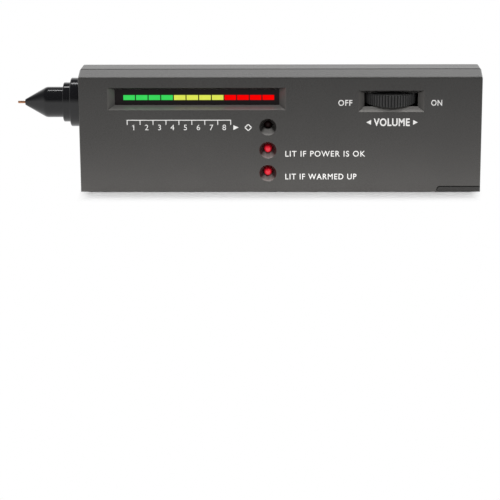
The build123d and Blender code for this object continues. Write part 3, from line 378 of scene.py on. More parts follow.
def case_plastic(name, colour, shaded_seam=False, body_shade=1.0):
    """The case's moulding with painted light and shade: paler towards its foot, lit or shaded slopes by the
    way they face, and painted shade along the parting line and in its corners.
    """
    colour = shade(colour, body_shade)
    s, tone = textured_plastic(name, colour, CASE_ROUGHNESS, CASE_GRAIN, CASE_GRAIN_DEPTH, CASE_EDGE,
                               specular_ior_level=CASE_SPECULAR)
    roughness = s.shader.inputs["Roughness"].links[0].from_socket
    place = s.parts(s.place)
    # Painted light and shade: paler towards the foot, where the floor throws light back, and darker towards
    # the top
    painted_foot_light = s.spread(place["Z"], FOOT_PAINTED_LIGHT, TOP_PAINTED_SHADE, 0.0, CASE_TOP)
    grey = s.node("ShaderNodeCombineXYZ", X=painted_foot_light, Y=painted_foot_light, Z=painted_foot_light)
    tone = s.mix(1.0, tone, grey.outputs[0], "MULTIPLY")
    front = s.math("ABSOLUTE", s.parts(s.facing)["Y"])
    sloped = slope_mask(s, front)
    # Painted light and shade on the slopes round windows and holes
    tone = s.mix(sloped, tone, painted_slope_light(s, colour, front))
    roughness = s.mix_numbers(sloped, roughness, SLOPE_ROUGHNESS)
    if shaded_seam:
        # Painted shade in the gap between the shells
        off = s.math("ABSOLUTE", s.math("SUBTRACT", place["Y"], SEAM_Y))
        seam_shade = s.fall(off, SEAM_HALF - SEAM_SOFT, SEAM_HALF)
        tone = s.mix(s.math("MULTIPLY", seam_shade, SEAM_SHADE_SHARE), tone, shade(colour, DARKEST))
        roughness = s.mix_numbers(seam_shade, roughness, 1.0)
    s.set("Roughness", roughness)
    # Painted shade in corners and gaps
    s.set("Base Color", s.shade_corners(tone, shade(colour, DARKEST), CASE_CORNER_SHARE, CORNER_REACH))
    return s.material


# The thumb dial's moulding
DIAL_ROUGHNESS = 0.40
DIAL_GRAIN = 5200.0
DIAL_GRAIN_DEPTH = 10 * MICRON
DIAL_EDGE = 0.1 * MM
DIAL_SPECULAR = 0.30
# Painted shade in the dial's grooves: full deeper than the first depth below the rim, gone within the
# second, and its shade
GROOVE_DEPTH = 0.32 * MM
RIDGE_DEPTH = 0.06 * MM
GROOVE_SHADE = 0.04
# The range of the Z part of the normal over which the dial's rim turns into its flat sides
RIM_TO_SIDE = (0.3, 0.6)


def knurled_plastic(name, colour, node):
    """The thumb dial's moulding, with painted shade in the grooves between its ridges, nearer to the dial's
    own axis.
    """
    s, tone = textured_plastic(name, colour, DIAL_ROUGHNESS, DIAL_GRAIN, DIAL_GRAIN_DEPTH, DIAL_EDGE,
                               specular_ior_level=DIAL_SPECULAR)
    low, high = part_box(node)
    rim = (high.x - low.x) / 2
    groove_shade_mask = s.fall(s.from_axis(node, across=(1, 1, 0)), rim - GROOVE_DEPTH, rim - RIDGE_DEPTH)
    on_rim = s.fall(s.math("ABSOLUTE", s.parts(s.facing)["Z"]), *RIM_TO_SIDE)
    # Painted shade in the grooves, on the rim only
    s.set("Base Color", s.mix(s.math("MULTIPLY", groove_shade_mask, on_rim), tone, shade(colour, GROOVE_SHADE)))
    return s.material


# Glossy moulding: wide ripples, and dust as a share of a paler tone
RIPPLE_SCALE = 180.0
RIPPLE_DEPTH = 2 * MICRON
RIPPLE_SMOOTHER = 0.03
RIPPLE_ROUGHER = 0.05
DUST_SCALE = 5200.0
DUST_SHARE = 0.25
DUST_STARTS = 0.55
DUST_FULL = 0.75
DUST_SHADE = 2.4


def polished_plastic(name, colour, roughness, edge=0.12 * MM, **fixed):
    """Glossy moulding: a nearly even skin with faint sink marks and fine dust."""
    s = Surface(name, colour, roughness, **fixed)
    ripple = s.noise(RIPPLE_SCALE, detail=2.0)
    dust = s.spread(s.noise(DUST_SCALE, detail=6.0, roughness=0.7), 0.0, DUST_SHARE, DUST_STARTS, DUST_FULL)
    s.set("Base Color", s.mix(dust, colour, shade(colour, DUST_SHADE)))
    s.set("Roughness", s.spread(ripple, roughness - RIPPLE_SMOOTHER, roughness + RIPPLE_ROUGHER))
    s.bump(ripple, RIPPLE_DEPTH, edge)
    return s.material


# Brushed steel with a painted reflection: its tone changes between these two shares of the case's height,
# from the pale floor low down to the dim room higher up
TONE_LOW = 0.15
TONE_HIGH = 0.80
FLAT_GRAIN = (60, 60, 9000)
BROAD_GRAIN = 0.12
SCRATCH_SHARE = 0.30
SCRATCH_SHADE = 0.7
SCRATCH_DEPTH = 4 * MICRON
SCRATCH_SMOOTHER = 0.06
SCRATCH_ROUGHER = 0.10
BAND_SHARE = 0.35
BAND_SHADE = 0.9
# A painted highlight along the rim: its colour, width, roughness and metalness
RIM_HIGHLIGHT_COLOUR = (0.95, 0.94, 0.92)
RIM_WIDTH = 0.45 * MM
RIM_ROUGHNESS = 0.60
RIM_METALLIC = 0.3
METAL_EDGE = 0.1 * MM


def brushed_plate(name, low_reflection_colour, high_reflection_colour, roughness, along):
    """A brushed steel plate: long fine scratches, and a painted reflection, pale low down and greyer
    towards its top, with a painted highlight on its rim.
    """
    s = Surface(name, low_reflection_colour, roughness, metallic=1.0)
    grain = s.noise(1.0, detail=6.0, stretch=along, roughness=0.7)
    broad = s.noise(BROAD_GRAIN, detail=3.0, stretch=along)
    # Painted reflection: the pale floor low down, the dim room higher up
    raised = s.rise(s.parts(s.place)["Z"], TONE_LOW * CASE_TOP, TONE_HIGH * CASE_TOP)
    tone = s.mix(raised, low_reflection_colour, high_reflection_colour)
    tone = s.mix(s.spread(grain, SCRATCH_SHARE, 0.0), tone, shade(high_reflection_colour, SCRATCH_SHADE))
    tone = s.mix(s.spread(broad, 0.0, BAND_SHARE), tone, shade(high_reflection_colour, BAND_SHADE))
    # Painted highlight along the rim
    rim = s.edge_mask(RIM_WIDTH)
    brushed = s.spread(grain, roughness - SCRATCH_SMOOTHER, roughness + SCRATCH_ROUGHER)
    s.set("Base Color", s.mix(rim, tone, RIM_HIGHLIGHT_COLOUR))
    s.set("Metallic", s.mix_numbers(rim, 1.0, RIM_METALLIC))
    s.set("Roughness", s.mix_numbers(rim, brushed, RIM_ROUGHNESS))
    s.bump(grain, SCRATCH_DEPTH, METAL_EDGE)
    return s.material


# Plated or drawn metal
STAIN_SCALE = 1500.0
STAIN_DARK = 0.72
STAIN_PALE = 1.10
STAIN_ROUGHER = 0.15
STAIN_SMOOTHER = 0.05
DENT_SCALE = 2600.0
DENT_DEPTH = 10 * MICRON
METAL_CLOSED = 0.35
METAL_CLEAR = 0.90


def turned_metal(name, colour, roughness, dirt=0.5, shade_reach=0.6 * MM):
    """Plated or drawn metal with small stains and dents, and painted shade in its corners."""
    s = Surface(name, colour, roughness, metallic=1.0)
    stain = s.noise(STAIN_SCALE, detail=5.0)
    stained = s.rise(stain, NOISE_LOW, NOISE_HIGH)
    tone = s.mix(stained, shade(colour, STAIN_DARK), shade(colour, STAIN_PALE))
    # Painted shade in gaps and corners
    tone = s.shade_corners(tone, shade(colour, DARKEST), dirt, shade_reach, METAL_CLOSED, METAL_CLEAR)
    s.set("Base Color", tone)
    s.set("Roughness", s.spread(stain, roughness + STAIN_ROUGHER, roughness - STAIN_SMOOTHER))
    s.bump(s.noise(DENT_SCALE), DENT_DEPTH, METAL_EDGE)
    return s.material


# Lit plastic
DIFFUSER_GRAIN = 4200.0
DIFFUSER_CLOUD = 300.0
DIFFUSER_GRAIN_SHARE = 0.25
DIFFUSER_GRAIN_SHADE = 0.80
DIFFUSER_CLOUD_SHADE = 0.92
DIFFUSER_ROUGHNESS = (0.28, 0.42)


def lit_diffuser(name, colour, glow=1.0):
    """A lit plastic segment: an even glow with the faint grain of its diffuser."""
    s = Surface(name, shade(colour, DARKEST), 0.35, specular_ior_level=0.0, emission_strength=glow)
    grain = s.noise(DIFFUSER_GRAIN, detail=3.0)
    cloud = s.rise(s.noise(DIFFUSER_CLOUD, detail=2.0), NOISE_LOW, NOISE_HIGH)
    tone = s.mix(cloud, shade(colour, DIFFUSER_CLOUD_SHADE), colour)
    grained = s.spread(grain, 0.0, DIFFUSER_GRAIN_SHARE)
    s.set("Emission Color", s.mix(grained, tone, shade(colour, DIFFUSER_GRAIN_SHADE)))
    s.set("Roughness", s.spread(grain, *DIFFUSER_ROUGHNESS))
    return s.material


# Lit lamps: the glow fades between two distances from the lamp's axis, which waver a little
LAMP_BODY = (0.30, 0.002, 0.008)
LAMP_CORE = (0.50, 0.012, 0.026)
LAMP_FADE = (0.9 * MM, 1.45 * MM)
LAMP_WAVER = 0.4 * MM
LAMP_WAVER_SCALE = 1400.0
LAMP_COAT = 0.25
LAMP_BODY_SHADE = 0.5
LAMP_GLOW_SHADE = 0.8
LAMP_GLOW_SHARE = 0.35
LAMP_SKIN_SCALE = 2500.0
LAMP_ROUGHNESS = (0.08, 0.18)


def glowing_lamp(name, node, body, core, glow=1.0):
    """A clear coloured dome that glows round its chip, on the lamp's own axis."""
    s = Surface(name, body, 0.12, coat_weight=LAMP_COAT)
    waver = s.math("MULTIPLY", s.spread(s.noise(LAMP_WAVER_SCALE, detail=2.0), -0.5, 0.5), LAMP_WAVER)
    inner = s.fall(s.math("ADD", s.from_axis(node, across=(1, 0, 1)), waver), *LAMP_FADE)
    s.set("Base Color", s.mix(inner, shade(body, LAMP_BODY_SHADE), body))
    s.set("Emission Color", s.mix(inner, shade(body, LAMP_GLOW_SHADE), core))
    s.set("Emission Strength", s.spread(inner, LAMP_GLOW_SHARE * glow, glow, 0.0, 1.0))
    s.set("Roughness", s.spread(s.noise(LAMP_SKIN_SCALE), *LAMP_ROUGHNESS))
    return s.material


# Circuit boards
TRACK_SCALE = 160.0
TRACK_GAP = 0.03
TRACK_SHADE = 1.7
TRACK_DEPTH = 30 * MICRON
PAD_SCALE = 420.0
PAD_EDGE = (0.16, 0.2)
PAD_SHARE = 0.5
PAD_COLOUR = (0.55, 0.55, 0.52)
MASK_SCALE = 800.0
MASK_ROUGHNESS = (0.28, 0.45)


def circuit_board(name, colour):
    """Solder mask over a grid of tracks, with small bright pads."""
    s = Surface(name, colour, 0.35)
    tracks = s.node("ShaderNodeTexBrick", Vector=s.place, Scale=TRACK_SCALE, Mortar_Size=TRACK_GAP)
    pads = s.node("ShaderNodeTexVoronoi", Vector=s.place, Scale=PAD_SCALE)
    pad = s.math("MULTIPLY", s.fall(pads.outputs["Distance"], *PAD_EDGE), PAD_SHARE)
    tone = s.mix(tracks.outputs["Fac"], colour, shade(colour, TRACK_SHADE))
    s.set("Base Color", s.mix(pad, tone, PAD_COLOUR))
    s.set("Roughness", s.spread(s.noise(MASK_SCALE), *MASK_ROUGHNESS))
    s.bump(tracks.outputs["Fac"], TRACK_DEPTH)
    return s.material


# Foam
CELL_SCALE = 2600.0
CELL_WALL = 0.6
CELL_DARK = 0.5
CELL_PALE = 1.3
CELL_DEPTH = 120 * MICRON


def foam(name, colour):
    """Closed foam: small dark cells in a matt skin."""
    s = Surface(name, colour, 0.95)
    cells = s.node("ShaderNodeTexVoronoi", Vector=s.place, Scale=CELL_SCALE).outputs["Distance"]
    wall = s.rise(cells, 0.0, CELL_WALL)
    s.set("Base Color", s.mix(wall, shade(colour, CELL_DARK), shade(colour, CELL_PALE)))
    s.bump(cells, CELL_DEPTH)
    return s.material


# Ink
INK_COLOUR = (0.95, 0.95, 0.94)
INK_PATCH_SCALE = 1800.0
INK_PATCH_SHADE = 0.90
INK_ROUGHNESS = (0.48, 0.65)
INK_GRAIN = 7000.0
INK_GRAIN_DEPTH = 6 * MICRON


def ink(name, colour):
    """Screen printed ink: opaque, a little uneven and rougher than the case."""
    s = Surface(name, colour, 0.55)
    patch = s.noise(INK_PATCH_SCALE, detail=5.0)
    patched = s.rise(patch, NOISE_LOW, NOISE_HIGH)
    s.set("Base Color", s.mix(patched, shade(colour, INK_PATCH_SHADE), colour))
    s.set("Roughness", s.spread(patch, *INK_ROUGHNESS))
    s.bump(s.noise(INK_GRAIN), INK_GRAIN_DEPTH)
    return s.material


CASE = (0.053, 0.0515, 0.0495)
DOOR_SHADE = 0.48

finishes = {
    "case_plastic": case_plastic("case_plastic", CASE, shaded_seam=True),
    "dial_plastic": knurled_plastic("dial_plastic", (0.058, 0.058, 0.058), "volume_dial"),
    # The touch plate's two colours are a painted reflection: pale low down, grey higher up
    "touch_steel": brushed_plate("touch_steel", (0.82, 0.76, 0.66), (0.41, 0.40, 0.38), 0.34, FLAT_GRAIN),
    "bar_green": lit_diffuser("bar_green", (0.045, 0.700, 0.110)),
    "bar_yellow": lit_diffuser("bar_yellow", (0.750, 0.820, 0.100)),
    "bar_red": lit_diffuser("bar_red", (0.970, 0.001, 0.001)),
    "board_laminate": circuit_board("board_laminate", (0.030, 0.16, 0.07)),
    "foam": foam("foam", (0.045, 0.045, 0.045)),
}

# The other slots: how each is made, its colour, its roughness and what else it needs
PLAIN_FINISHES = {
    "probe_plastic": (polished_plastic, (0.004, 0.004, 0.005), 0.11, {"specular_ior_level": 0.5}),
    "lamp_smoke": (polished_plastic, (0.012, 0.003, 0.003), 0.50, {"specular_ior_level": 0.2}),
    "capacitor_sleeve": (polished_plastic, (0.02, 0.03, 0.10), 0.30, {}),
    "resistor_coat": (polished_plastic, (0.52, 0.40, 0.24), 0.35, {}),
    "battery_jacket": (polished_plastic, (0.09, 0.10, 0.12), 0.28, {}),
    "wire_red": (polished_plastic, (0.50, 0.02, 0.02), 0.35, {}),
    "wire_black": (polished_plastic, (0.015, 0.015, 0.015), 0.35, {}),
    "wire_grey": (polished_plastic, (0.28, 0.28, 0.28), 0.38, {}),
    "tip_copper": (turned_metal, (0.55, 0.26, 0.13), 0.35, {}),
    # The screw gets full painted shade in its slot and in the well round it
    "screw_steel": (turned_metal, (0.26, 0.26, 0.25), 0.26, {"dirt": 1.0}),
    "contact_brass": (turned_metal, (0.60, 0.46, 0.20), 0.30, {}),
    # The buzzer's brass gets painted shade reaching far in from the walls of the sound holes in front of it
    "buzzer_brass": (turned_metal, (0.62, 0.50, 0.22), 0.38, {"shade_reach": 1.6 * MM}),
    "spring_steel": (turned_metal, (0.60, 0.60, 0.60), 0.22, {}),
    "ceramic_white": (moulded_plastic, (0.72, 0.70, 0.65), 0.55,
                      {"grain": 3000.0, "depth": 10 * MICRON}),
    "black_plastic": (moulded_plastic, (0.010, 0.007, 0.008), 0.55,
                      {"grain": 6000.0, "depth": 10 * MICRON, "specular_ior_level": 0.15}),
    "rotor_nylon": (moulded_plastic, (0.58, 0.56, 0.50), 0.45,
                    {"grain": 4000.0, "depth": 8 * MICRON}),
    "holder_ceramic": (moulded_plastic, (0.68, 0.64, 0.56), 0.60,
                       {"grain": 3500.0, "depth": 12 * MICRON}),
}
for slot, (make, colour, roughness, details) in PLAIN_FINISHES.items():
    finishes[slot] = make(slot, colour, roughness, **details)

own_finishes = {
    name: glowing_lamp(name + "_red", name, LAMP_BODY, LAMP_CORE)
    for name in ("battery_lamp", "ready_lamp")
}
own_finishes["battery_door"] = case_plastic("door_plastic", CASE, body_shade=DOOR_SHADE)


def dress_nodes():
    """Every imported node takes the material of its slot, but the lit lamps and the door have their own."""
    for part in frame["record"]["subparts"]:
        name = part["node"]
        material = own_finishes.get(name) or finishes[part["material_slot"]]
        slots = nodes[name].data.materials
        slots.clear()
        slots.append(material)


def pin_spring():
    """The spring behind the pin, which on the tester shortens towards its fixed end as the pin is pressed
    in; here a copy of the CAD spring in spring steel, riding on the case in its place.
    """
    spring = bpy.data.objects.new("pin_spring", nodes["tip_spring"].data.copy())
    spring.data.materials.clear()
    spring.data.materials.append(finishes["spring_steel"])
    bpy.context.scene.collection.objects.link(spring)
    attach(spring, "case")
    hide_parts("tip_spring")
    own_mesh(spring)


# Prints

INK_LIFT = 0.004 * MM
INK_THICKNESS = 0.012 * MM
CURVE_STEPS = 4
ink_white = ink("ink_white", INK_COLOUR)


def new_text(name, words, size):
    """A flat text object in the built-in font."""
    data = bpy.data.curves.new(name, "FONT")
    data.body = words
    data.size = size
    data.resolution_u = CURVE_STEPS
    piece = bpy.data.objects.new(name, data)
    bpy.context.scene.collection.objects.link(piece)
    return piece


def capital_share():
    """The height of a capital letter of the built-in font, as a share of its size."""
    sample = new_text("sample", "H", 1.0)
    bpy.context.view_layer.update()
    height = sample.dimensions.y
    bpy.data.objects.remove(sample)
    return height


CAPITAL_SHARE = capital_share()
# The font's 1 is a plain bar, so it gets a flag of this length
DIGIT_FLAG = 0.55 * MM


class Print:
    """One printed piece, made of letters, bars and outlines that lie on the front or the back face."""

    def __init__(self, name, back=False):
        self.name = name
        self.back = back
        self.curves = []

    def letters(self, text, x, z, height, width=None, align="LEFT", bold=0.0, spacing=1.0):
        """Text with capitals of that height; x is its start, centre or end, and z its middle height."""
        piece = new_text(self.name, text, height / CAPITAL_SHARE)
        piece.data.align_x = align
        piece.data.offset = bold
        piece.data.space_character = spacing
        bpy.context.view_layer.update()
        if width:
            piece.scale = (width / piece.dimensions.x, 1, 1)
        piece.location = (x, z - height / 2, 0)
        self.curves.append(piece)

    def digit(self, text, x, z, height):
        """One digit about x, and the flag of a 1."""
        self.letters(text, x, z, height, align="CENTER")
        if text == "1":
            top = z + height / 2
            self.stroke((x + DIGIT_FLAG / 4, top), (x - DIGIT_FLAG, top - DIGIT_FLAG), DIGIT_FLAG / 2)

    def outline(self, points):
        """A filled flat shape with those corners."""
        data = bpy.data.curves.new(self.name, "CURVE")
        data.dimensions = "2D"
        data.fill_mode = "BOTH"
        spline = data.splines.new("POLY")
        spline.points.add(len(points) - 1)
        for place, (x, z) in zip(spline.points, points):
            place.co = (x, z, 0, 1)
        spline.use_cyclic_u = True
        piece = bpy.data.objects.new(self.name, data)
        bpy.context.scene.collection.objects.link(piece)
        self.curves.append(piece)

    def bar(self, x0, z0, x1, z1):
        """A filled rectangle between two corners."""
        self.outline([(x0, z0), (x1, z0), (x1, z1), (x0, z1)])

    def stroke(self, start, end, width):
        """A straight line of that width."""
        a, b = Vector(start), Vector(end)
        side = (b - a).normalized().orthogonal() * width / 2
        self.outline([a - side, b - side, b + side, a + side])

    def arrow(self, x0, x1, z, height):
        """A filled triangle from its base at x0 to its tip at x1."""
        self.outline([(x0, z - height / 2), (x1, z), (x0, z + height / 2)])

    def finish(self):
        """Joins all into one thin mesh on the face, which rides on the case."""
        turn = Matrix.Rotation(math.pi / 2, 4, "X")
        if self.back:
            turn = Matrix.Rotation(math.pi, 4, "Z") @ turn
        face = BACK_Y + INK_LIFT if self.back else FRONT_Y - INK_LIFT
        parts = []
        for piece in self.curves:
            piece.data.extrude = INK_THICKNESS / 2
            bpy.context.view_layer.update()
            depsgraph = bpy.context.evaluated_depsgraph_get()
            flat = bpy.data.meshes.new_from_object(piece.evaluated_get(depsgraph))
            flat.transform(Matrix.Translation((0, face, 0)) @ turn @ piece.matrix_world)
            bpy.data.objects.remove(piece)
            part = bpy.data.objects.new(self.name, flat)
            bpy.context.scene.collection.objects.link(part)
            parts.append(part)
        made = parts[0]
        if len(parts) > 1:
            with bpy.context.temp_override(active_object=made, selected_editable_objects=parts):
                bpy.ops.object.join()
        made.name = self.name
        made.data.materials.clear()
        made.data.materials.append(ink_white)
        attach(made, "case")


# Places of the front prints along X and Z, measured in the photograph
SCALE_LEFT = -57.7 * MM
SCALE_RIGHT = -18.6 * MM
SCALE_Z = 28.2 * MM
SCALE_TICK = 1.8 * MM
SCALE_STEPS = 8
SCALE_LINE = 0.31 * MM
DIGIT_Z = 25.4 * MM
DIGIT_HEIGHT = 2.1 * MM


def scale_print():
    """A ruled line with nine ticks and the digits between them."""
    p = Print("print_scale")
    half = SCALE_LINE / 2
    p.bar(SCALE_LEFT - half, SCALE_Z - half, SCALE_RIGHT + half, SCALE_Z + half)
    step = (SCALE_RIGHT - SCALE_LEFT) / SCALE_STEPS
    for tick in range(SCALE_STEPS + 1):
        x = SCALE_LEFT + tick * step
        p.bar(x - half, SCALE_Z - SCALE_TICK, x + half, SCALE_Z - half)
    for digit in range(SCALE_STEPS):
        p.digit(str(digit + 1), SCALE_LEFT + (digit + 0.5) * step, DIGIT_Z, DIGIT_HEIGHT)
    p.finish()


ARROW_HEIGHT = 1.9 * MM
RESULT_Z = 25.35 * MM
RESULT_ARROW = (-17.6 * MM, -15.6 * MM)
RHOMBUS_X = -12.0 * MM
RHOMBUS_HALF = 1.25 * MM
RHOMBUS_LINE = 0.36 * MM


def result_print():
    """An arrow and a plain rhombus beside the upper lamp hole."""
    p = Print("print_result")
    p.arrow(*RESULT_ARROW, RESULT_Z, ARROW_HEIGHT)
    x, z, half = RHOMBUS_X, RESULT_Z, RHOMBUS_HALF
    corners = [Vector((x - half, z)), Vector((x, z - half)), Vector((x + half, z)), Vector((x, z + half))]
    for start, end in zip(corners, corners[1:] + corners[:1]):
        p.stroke(start, end, RHOMBUS_LINE)
    p.finish()


# The two words beside the dial, with the left end and the width of each
SWITCH_WORDS = (
    ("OFF", 21.8 * MM, 5.3 * MM),
    ("ON", 56.7 * MM, 4.1 * MM),
)
SWITCH_Z = 34.85 * MM
SWITCH_HEIGHT = 2.15 * MM
SWITCH_BOLD = 0.04 * MM
SWITCH_SPACING = 1.1
# The word below the dial, and the base and the tip of the arrows beside it
VOLUME_X = 35.4 * MM
VOLUME_Z = 27.35 * MM
VOLUME_HEIGHT = 2.75 * MM
VOLUME_WIDTH = 13.6 * MM
VOLUME_BOLD = 0.11 * MM
VOLUME_SPACING = 1.08
VOLUME_ARROWS = (
    (34.3 * MM, 32.5 * MM),
    (50.1 * MM, 51.9 * MM),
)
VOLUME_ARROW_Z = 27.3 * MM


def dial_print():
    """OFF and ON beside the dial, and its name between two arrows below."""
    p = Print("print_dial")
    for word, x, width in SWITCH_WORDS:
        p.letters(word, x, SWITCH_Z, SWITCH_HEIGHT, width, bold=SWITCH_BOLD, spacing=SWITCH_SPACING)
    p.letters("VOLUME", VOLUME_X, VOLUME_Z, VOLUME_HEIGHT, VOLUME_WIDTH, bold=VOLUME_BOLD,
              spacing=VOLUME_SPACING)
    for base, tip in VOLUME_ARROWS:
        p.arrow(base, tip, VOLUME_ARROW_Z, ARROW_HEIGHT)
    p.finish()


# The words beside the lit lamps, with the middle height and the width of each
LEGENDS = (
    ("LIT IF POWER IS OK", 15.1 * MM, 30.2 * MM),
    ("LIT IF WARMED UP", 6.15 * MM, 27.0 * MM),
)
LEGEND_X = 1.8 * MM
LEGEND_HEIGHT = 2.15 * MM
LEGEND_BOLD = 0.03 * MM
LEGEND_SPACING = 1.15


def lamp_print():
    """What the two lit lamps mean."""
    p = Print("print_lamps")
    for words, z, width in LEGENDS:
        p.letters(words, LEGEND_X, z, LEGEND_HEIGHT, width, bold=LEGEND_BOLD, spacing=LEGEND_SPACING)
    p.finish()


# The table on the back; its places along X grow to the right as seen from behind
TABLE_LEFT = -57.9 * MM
TABLE_RIGHT = -3.15 * MM
TABLE_TOP = 30.9 * MM
TABLE_BOTTOM = 4.8 * MM
TABLE_LINE = 0.38 * MM
TABLE_ROWS = [24.4 * MM, 17.8 * MM, 11.2 * MM]
TABLE_COLUMN = -44.3 * MM
TABLE_DOUBLE_COLUMNS = [-30.1 * MM, -16.3 * MM]
TABLE_DOUBLE_GAP = 1.0 * MM
TABLE_CELLS = [["5", "6", "7"], ["3", "4", "5"], ["1", "2", "3"]]
TABLE_HEADS = [["UNDER", "10°C"], ["10°C", "TO 30°C"], ["OVER", "30°C"]]
TABLE_SIDES = [["UNDER", "0.05"], ["0.05", "TO 0.5"], ["OVER 0.5"]]
TABLE_WORD = 1.75 * MM
TABLE_WORD_STEP = 2.75 * MM
TABLE_WORD_SPACING = 1.08
TABLE_DIGIT = 2.4 * MM
# The first cell: its slanted line, and the unit on each side of it
SLANT_LINE = 0.3 * MM
UNIT_LIFT = 1.5 * MM
DEGREE_HEIGHT = 1.9 * MM
DEGREE_MARGIN = 1.2 * MM
DEGREE_BOLD = 0.03 * MM
WEIGHT_HEIGHT = 2.1 * MM
WEIGHT_MARGIN = 1.3 * MM
WEIGHT_BOLD = 0.04 * MM


def cell_words(p, lines, left, right, middle):
    """One or two short lines in the middle of a cell."""
    for index, words in enumerate(lines):
        z = middle + ((len(lines) - 1) / 2 - index) * TABLE_WORD_STEP
        p.letters(words, (left + right) / 2, z, TABLE_WORD, align="CENTER", spacing=TABLE_WORD_SPACING)


def table_lines(p, spans):
    """The frame, the single and double columns, and the rows, which stop at the double columns."""
    half = TABLE_LINE / 2
    for z in (TABLE_TOP, TABLE_BOTTOM):
        p.bar(TABLE_LEFT - half, z - half, TABLE_RIGHT + half, z + half)
    columns = [TABLE_LEFT, TABLE_RIGHT, TABLE_COLUMN]
    for middle in TABLE_DOUBLE_COLUMNS:
        columns += [middle - TABLE_DOUBLE_GAP / 2, middle + TABLE_DOUBLE_GAP / 2]
    for x in columns:
        p.bar(x - half, TABLE_BOTTOM + half, x + half, TABLE_TOP - half)
    for z in TABLE_ROWS:
        for left, right in spans:
            p.bar(left + half, z - half, right - half, z + half)
    p.stroke((TABLE_LEFT + half, TABLE_TOP - half), (TABLE_COLUMN - half, TABLE_ROWS[0] + half), SLANT_LINE)


def table_print():
    """A table of settings by temperature and weight: plain numbers and units."""
    p = Print("print_table", back=True)
    spans = [(TABLE_LEFT, TABLE_COLUMN)]
    left = TABLE_COLUMN
    for middle in TABLE_DOUBLE_COLUMNS:
        spans.append((left, middle - TABLE_DOUBLE_GAP / 2))
        left = middle + TABLE_DOUBLE_GAP / 2
    spans.append((left, TABLE_RIGHT))
    table_lines(p, spans)
    head_z = (TABLE_TOP + TABLE_ROWS[0]) / 2
    p.letters("°C", TABLE_COLUMN - DEGREE_MARGIN, head_z + UNIT_LIFT, DEGREE_HEIGHT, align="RIGHT",
              bold=DEGREE_BOLD)
    p.letters("ct", TABLE_LEFT + WEIGHT_MARGIN, head_z - UNIT_LIFT, WEIGHT_HEIGHT, bold=WEIGHT_BOLD)
    for (left, right), lines in zip(spans[1:], TABLE_HEADS):
        cell_words(p, lines, left, right, head_z)
    levels = [*TABLE_ROWS, TABLE_BOTTOM]
    for row, (top, bottom) in enumerate(zip(levels, levels[1:])):
        z = (top + bottom) / 2
        cell_words(p, TABLE_SIDES[row], *spans[0], z)
        for (left, right), digit in zip(spans[1:], TABLE_CELLS[row]):
            p.digit(digit, (left + right) / 2, z, TABLE_DIGIT)
    p.finish()


# Stage and light

FLOOR_REACH = 4.0
FLOOR_WHITE = 0.63
# The light that the floor throws back, at the case and from GLOW_REACH away
GLOW_NEAR = 1.9
GLOW_FAR = 0.1
GLOW_REACH = 0.110
GLOW_COLOUR = (1.0, 0.98, 0.96)
MOTTLE_SCALE = 30.0
MOTTLE_LEAST = 0.99
# The ranges over which the shadow fades, past the case's ends and away from its faces
END_SHADOW = (-4 * MM, 0.5 * MM)
SIDE_SHADOW = (7 * MM, 14 * MM)


def make_floor():
    """A wide white floor that keeps the shadow along the case, and throws light back from close by it."""
    s = Surface("floor_white", (FLOOR_WHITE, FLOOR_WHITE, FLOOR_WHITE), 1.0, specular_ior_level=0.0)
    s.material.cycles.emission_sampling = "NONE"
    place = s.parts(s.place)
    past_end = s.math("SUBTRACT", s.math("ABSOLUTE", place["X"]), CASE_END)
    past_side = s.math("SUBTRACT", s.math("ABSOLUTE", place["Y"]), BACK_Y)
    outside = s.node("ShaderNodeCombineXYZ", X=s.math("MAXIMUM", past_end, 0.0),
                     Y=s.math("MAXIMUM", past_side, 0.0))
    away = s.vector("LENGTH", outside.outputs[0])
    mottle = s.spread(s.noise(MOTTLE_SCALE, detail=2.0), MOTTLE_LEAST, 1.0)
    thrown = s.math("MULTIPLY", s.spread(away, GLOW_NEAR, GLOW_FAR, 0.0, GLOW_REACH), mottle)
    glow = s.node("ShaderNodeEmission", Color=GLOW_COLOUR, Strength=thrown)
    clean = s.node("ShaderNodeEmission", Strength=1.0)
    clear = s.math("MAXIMUM", s.rise(past_end, *END_SHADOW), s.rise(past_side, *SIDE_SHADOW))
    shown = s.mix_shaders(clear, s.shader.outputs["BSDF"], clean.outputs["Emission"])
    choice = s.mix_shaders(s.seen_directly(), glow.outputs["Emission"], shown)
    s.link(choice, s.output.inputs["Surface"])
    mesh = bpy.data.meshes.new("floor")
    reach = FLOOR_REACH
    corners = [(-reach, -reach, 0), (reach, -reach, 0), (reach, reach, 0), (-reach, reach, 0)]
    mesh.from_pydata(corners, [], [(0, 1, 2, 3)])
    mesh.materials.append(s.material)
    floor = bpy.data.objects.new("floor", mesh)
    bpy.context.scene.collection.objects.link(floor)


# Strengths of the light from the horizon and from straight above
SKY_LOW = 0.45
SKY_HIGH = 0.30
# What mirrors see: white up to the first height, dim from the second, lower in front by the lean
ROOM_HIGH = 0.12
ROOM_BAND = (0.22, 0.60)
ROOM_LEAN = -0.12


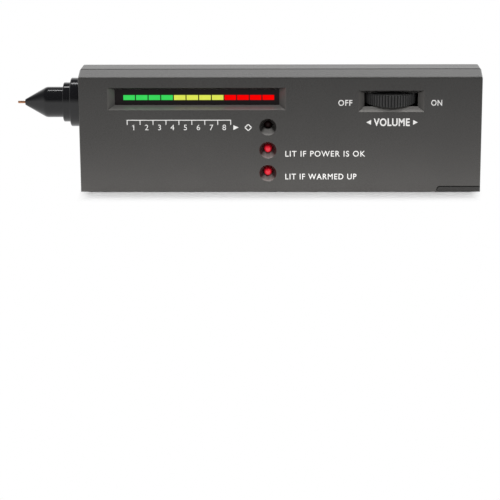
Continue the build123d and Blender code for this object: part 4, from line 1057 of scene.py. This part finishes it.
def make_world():
    """A studio: white for the camera, a soft dome for light, and for mirrors a room that dims upwards."""
    world = bpy.data.worlds.new("studio")
    bpy.context.scene.world = world
    world.use_nodes = True
    g = Graph(world.node_tree, "ShaderNodeOutputWorld")
    way = g.parts(g.node("ShaderNodeTexCoord").outputs["Generated"])

    def dome(from_low, from_high, to_low, to_high, lean=0.0):
        """White light whose strength changes with the height that it comes from, leaned front or back."""
        leaned = g.math("MULTIPLY_ADD", way["Y"], lean, way["Z"])
        strength = g.spread(leaned, to_low, to_high, from_low, from_high)
        return g.node("ShaderNodeBackground", Color=WHITE, Strength=strength).outputs[0]

    light = dome(0.0, 1.0, SKY_LOW, SKY_HIGH)
    room = dome(*ROOM_BAND, 1.0, ROOM_HIGH, ROOM_LEAN)
    backdrop = g.node("ShaderNodeBackground", Color=WHITE).outputs[0]
    mirrored = g.mix_shaders(g.seen_directly(), light, room)
    to_camera = g.node("ShaderNodeLightPath").outputs["Is Camera Ray"]
    g.link(g.mix_shaders(to_camera, mirrored, backdrop), g.output.inputs["Surface"])


def make_lamp(name, strength, angle, tilt, turn=0.0, mirrored=True):
    """A distant lamp as wide as its angle; tilt leans it from straight above, and turn swings it round.

    A lamp that isn't mirrored lights the object but makes no highlight.
    """
    data = bpy.data.lights.new(name, "SUN")
    data.energy = strength
    data.angle = math.radians(angle)
    lamp = bpy.data.objects.new(name, data)
    lamp.rotation_euler = (math.radians(tilt), 0, math.radians(turn))
    lamp.visible_glossy = mirrored
    bpy.context.scene.collection.objects.link(lamp)


dress_nodes()
pin_spring()
scale_print()
result_print()
dial_print()
lamp_print()
table_print()
make_camera()
make_floor()
make_world()
make_lamp("overhead", strength=3.3, angle=35.0, tilt=-4.0, mirrored=False)
make_lamp("overhead_strip", strength=0.4, angle=14.0, tilt=-22.0)
make_lamp("front_softbox", strength=1.00, angle=30.0, tilt=45.0, mirrored=False)
make_lamp("rear_softbox", strength=0.12, angle=30.0, tilt=45.0, turn=180.0, mirrored=False)
bpy.context.scene.view_settings.view_transform = "Standard"
